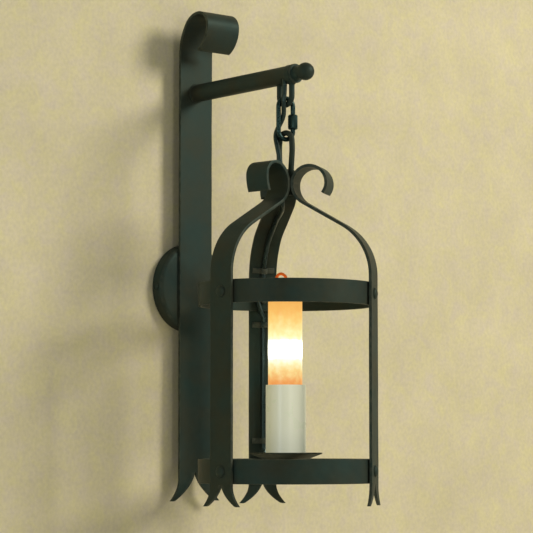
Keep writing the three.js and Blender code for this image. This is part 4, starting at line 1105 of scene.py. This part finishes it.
class LANTERN_OT_fittings(PieceOperator, bpy.types.Operator):
    """Finish the fittings that keep their CAD shapes"""
    bl_idname = "lantern.fittings"
    bl_label = "Fittings"

    def execute(self, context):
        kept = {
            "zinc": ("mounting_bar", "strap_stud_upper", "strap_stud_lower", "stud_nut_upper",
                     "stud_nut_lower", "boss_bolt", "threaded_nipple", "pan_nut"),
            "black": ("cable_grommet", "lampholder"),
            "white": ("terminal_block",),
            "opal": ("lamp",),
        }
        for finish, names in kept.items():
            for name in names:
                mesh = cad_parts[name].data
                mesh.materials.clear()
                mesh.materials.append(FINISHES[finish])
        return {"FINISHED"}


def backdrop(name, corners, material):
    mesh = bpy.data.meshes.new(name)
    mesh.from_pydata(corners, [], [(0, 1, 2, 3)])
    mesh.materials.append(material)
    linked(name, mesh)


def aimed(scene, name, data, spot, aim):
    """Adds a camera or light to the scene at a spot, looking along aim."""
    made = bpy.data.objects.new(name, data)
    scene.collection.objects.link(made)
    made.location = spot
    made.rotation_mode = "QUATERNION"
    made.rotation_quaternion = aim.to_track_quat("-Z", "Y")
    return made


class LANTERN_OT_camera(PieceOperator, bpy.types.Operator):
    """Set the camera at the photograph's viewing angle"""
    bl_idname = "lantern.camera"
    bl_label = "Camera"

    def execute(self, context):
        data = bpy.data.cameras.new("Camera")
        data.sensor_width = SENSOR
        data.lens = CAMERA["lens"]
        ahead = Vector((*CAMERA["ahead"], math.tan(math.radians(CAMERA["rise"]))))
        context.scene.camera = aimed(context.scene, "Camera", data, CAMERA["spot"], ahead)
        return {"FINISHED"}


class LANTERN_OT_stage(PieceOperator, bpy.types.Operator):
    """Build the wall, the floor and the lights"""
    bl_idname = "lantern.stage"
    bl_label = "Stage"

    def execute(self, context):
        scene = context.scene
        props = scene.lantern_stage
        half, behind, foot, top = WALL.values()
        round_four = ((-1, 0), (1, 0), (1, 1), (-1, 1))
        backdrop("wall_backdrop", [(x * half, behind, top if up else foot) for x, up in round_four],
                 plaster(props))
        # Plain and matt, so that nothing on it draws the eye
        floor = speckled("Pale matt floor", "#dcd9cf", "#d8d5ca", 300, 0.8)
        backdrop("floor", [(x * FLOOR_HALF, (2 * y - 1) * FLOOR_HALF, foot) for x, y in round_four], floor)
        for name, (spot, size, power, colour) in LIGHTS.items():
            data = bpy.data.lights.new(name, "AREA")
            data.size = size
            data.energy = getattr(props, power)
            data.color = linear(colour)[:3]
            aimed(scene, name, data, spot, LIGHT_AIM - Vector(spot))
        world = bpy.data.worlds.new("Studio")
        world.use_nodes = True
        world.node_tree.nodes.clear()
        sky = add(world.node_tree, "ShaderNodeBackground", {"Color": linear("#e2e6d8"), "Strength": 0.28})
        add(world.node_tree, "ShaderNodeOutputWorld", {"Surface": sky.outputs[0]})
        scene.world = world
        scene.view_settings.view_transform = "Standard"
        return {"FINISHED"}


STEPS = (LANTERN_OT_camera, LANTERN_OT_finishes, LANTERN_OT_flex, LANTERN_OT_strap_and_bars, LANTERN_OT_cup,
         LANTERN_OT_arm, LANTERN_OT_chain, LANTERN_OT_rings, LANTERN_OT_pan, LANTERN_OT_candle,
         LANTERN_OT_fittings, LANTERN_OT_stage)


class LANTERN_PT_sidebar(bpy.types.Panel):
    """Lists the lantern's pieces and its sizes and colours"""
    bl_idname = "LANTERN_PT_sidebar"
    bl_label = "Wall lantern"
    bl_space_type = "VIEW_3D"
    bl_region_type = "UI"
    bl_category = "Lantern"

    def draw(self, context):
        for group in ("lantern_finish", "lantern_sizes", "lantern_stage"):
            props = getattr(context.scene, group)
            box = self.layout.box()
            for name in props.bl_rna.properties.keys():
                if name not in ("rna_type", "name"):
                    box.prop(props, name)
        for step in STEPS:
            self.layout.operator(step.bl_idname)


GROUPS = {"lantern_finish": LanternFinish, "lantern_sizes": LanternSizes, "lantern_stage": LanternStage}


def register():
    for made in (*GROUPS.values(), *STEPS, LANTERN_PT_sidebar):
        bpy.utils.register_class(made)
    for name, group in GROUPS.items():
        setattr(bpy.types.Scene, name, PointerProperty(type=group))


def unregister():
    for name in GROUPS:
        delattr(bpy.types.Scene, name)
    for made in (LANTERN_PT_sidebar, *reversed(STEPS), *GROUPS.values()):
        bpy.utils.unregister_class(made)


def main():
    register()
    for step in STEPS:
        group, name = step.bl_idname.split(".")
        getattr(getattr(bpy.ops, group), name)()


if __name__ == "__main__":
    main()
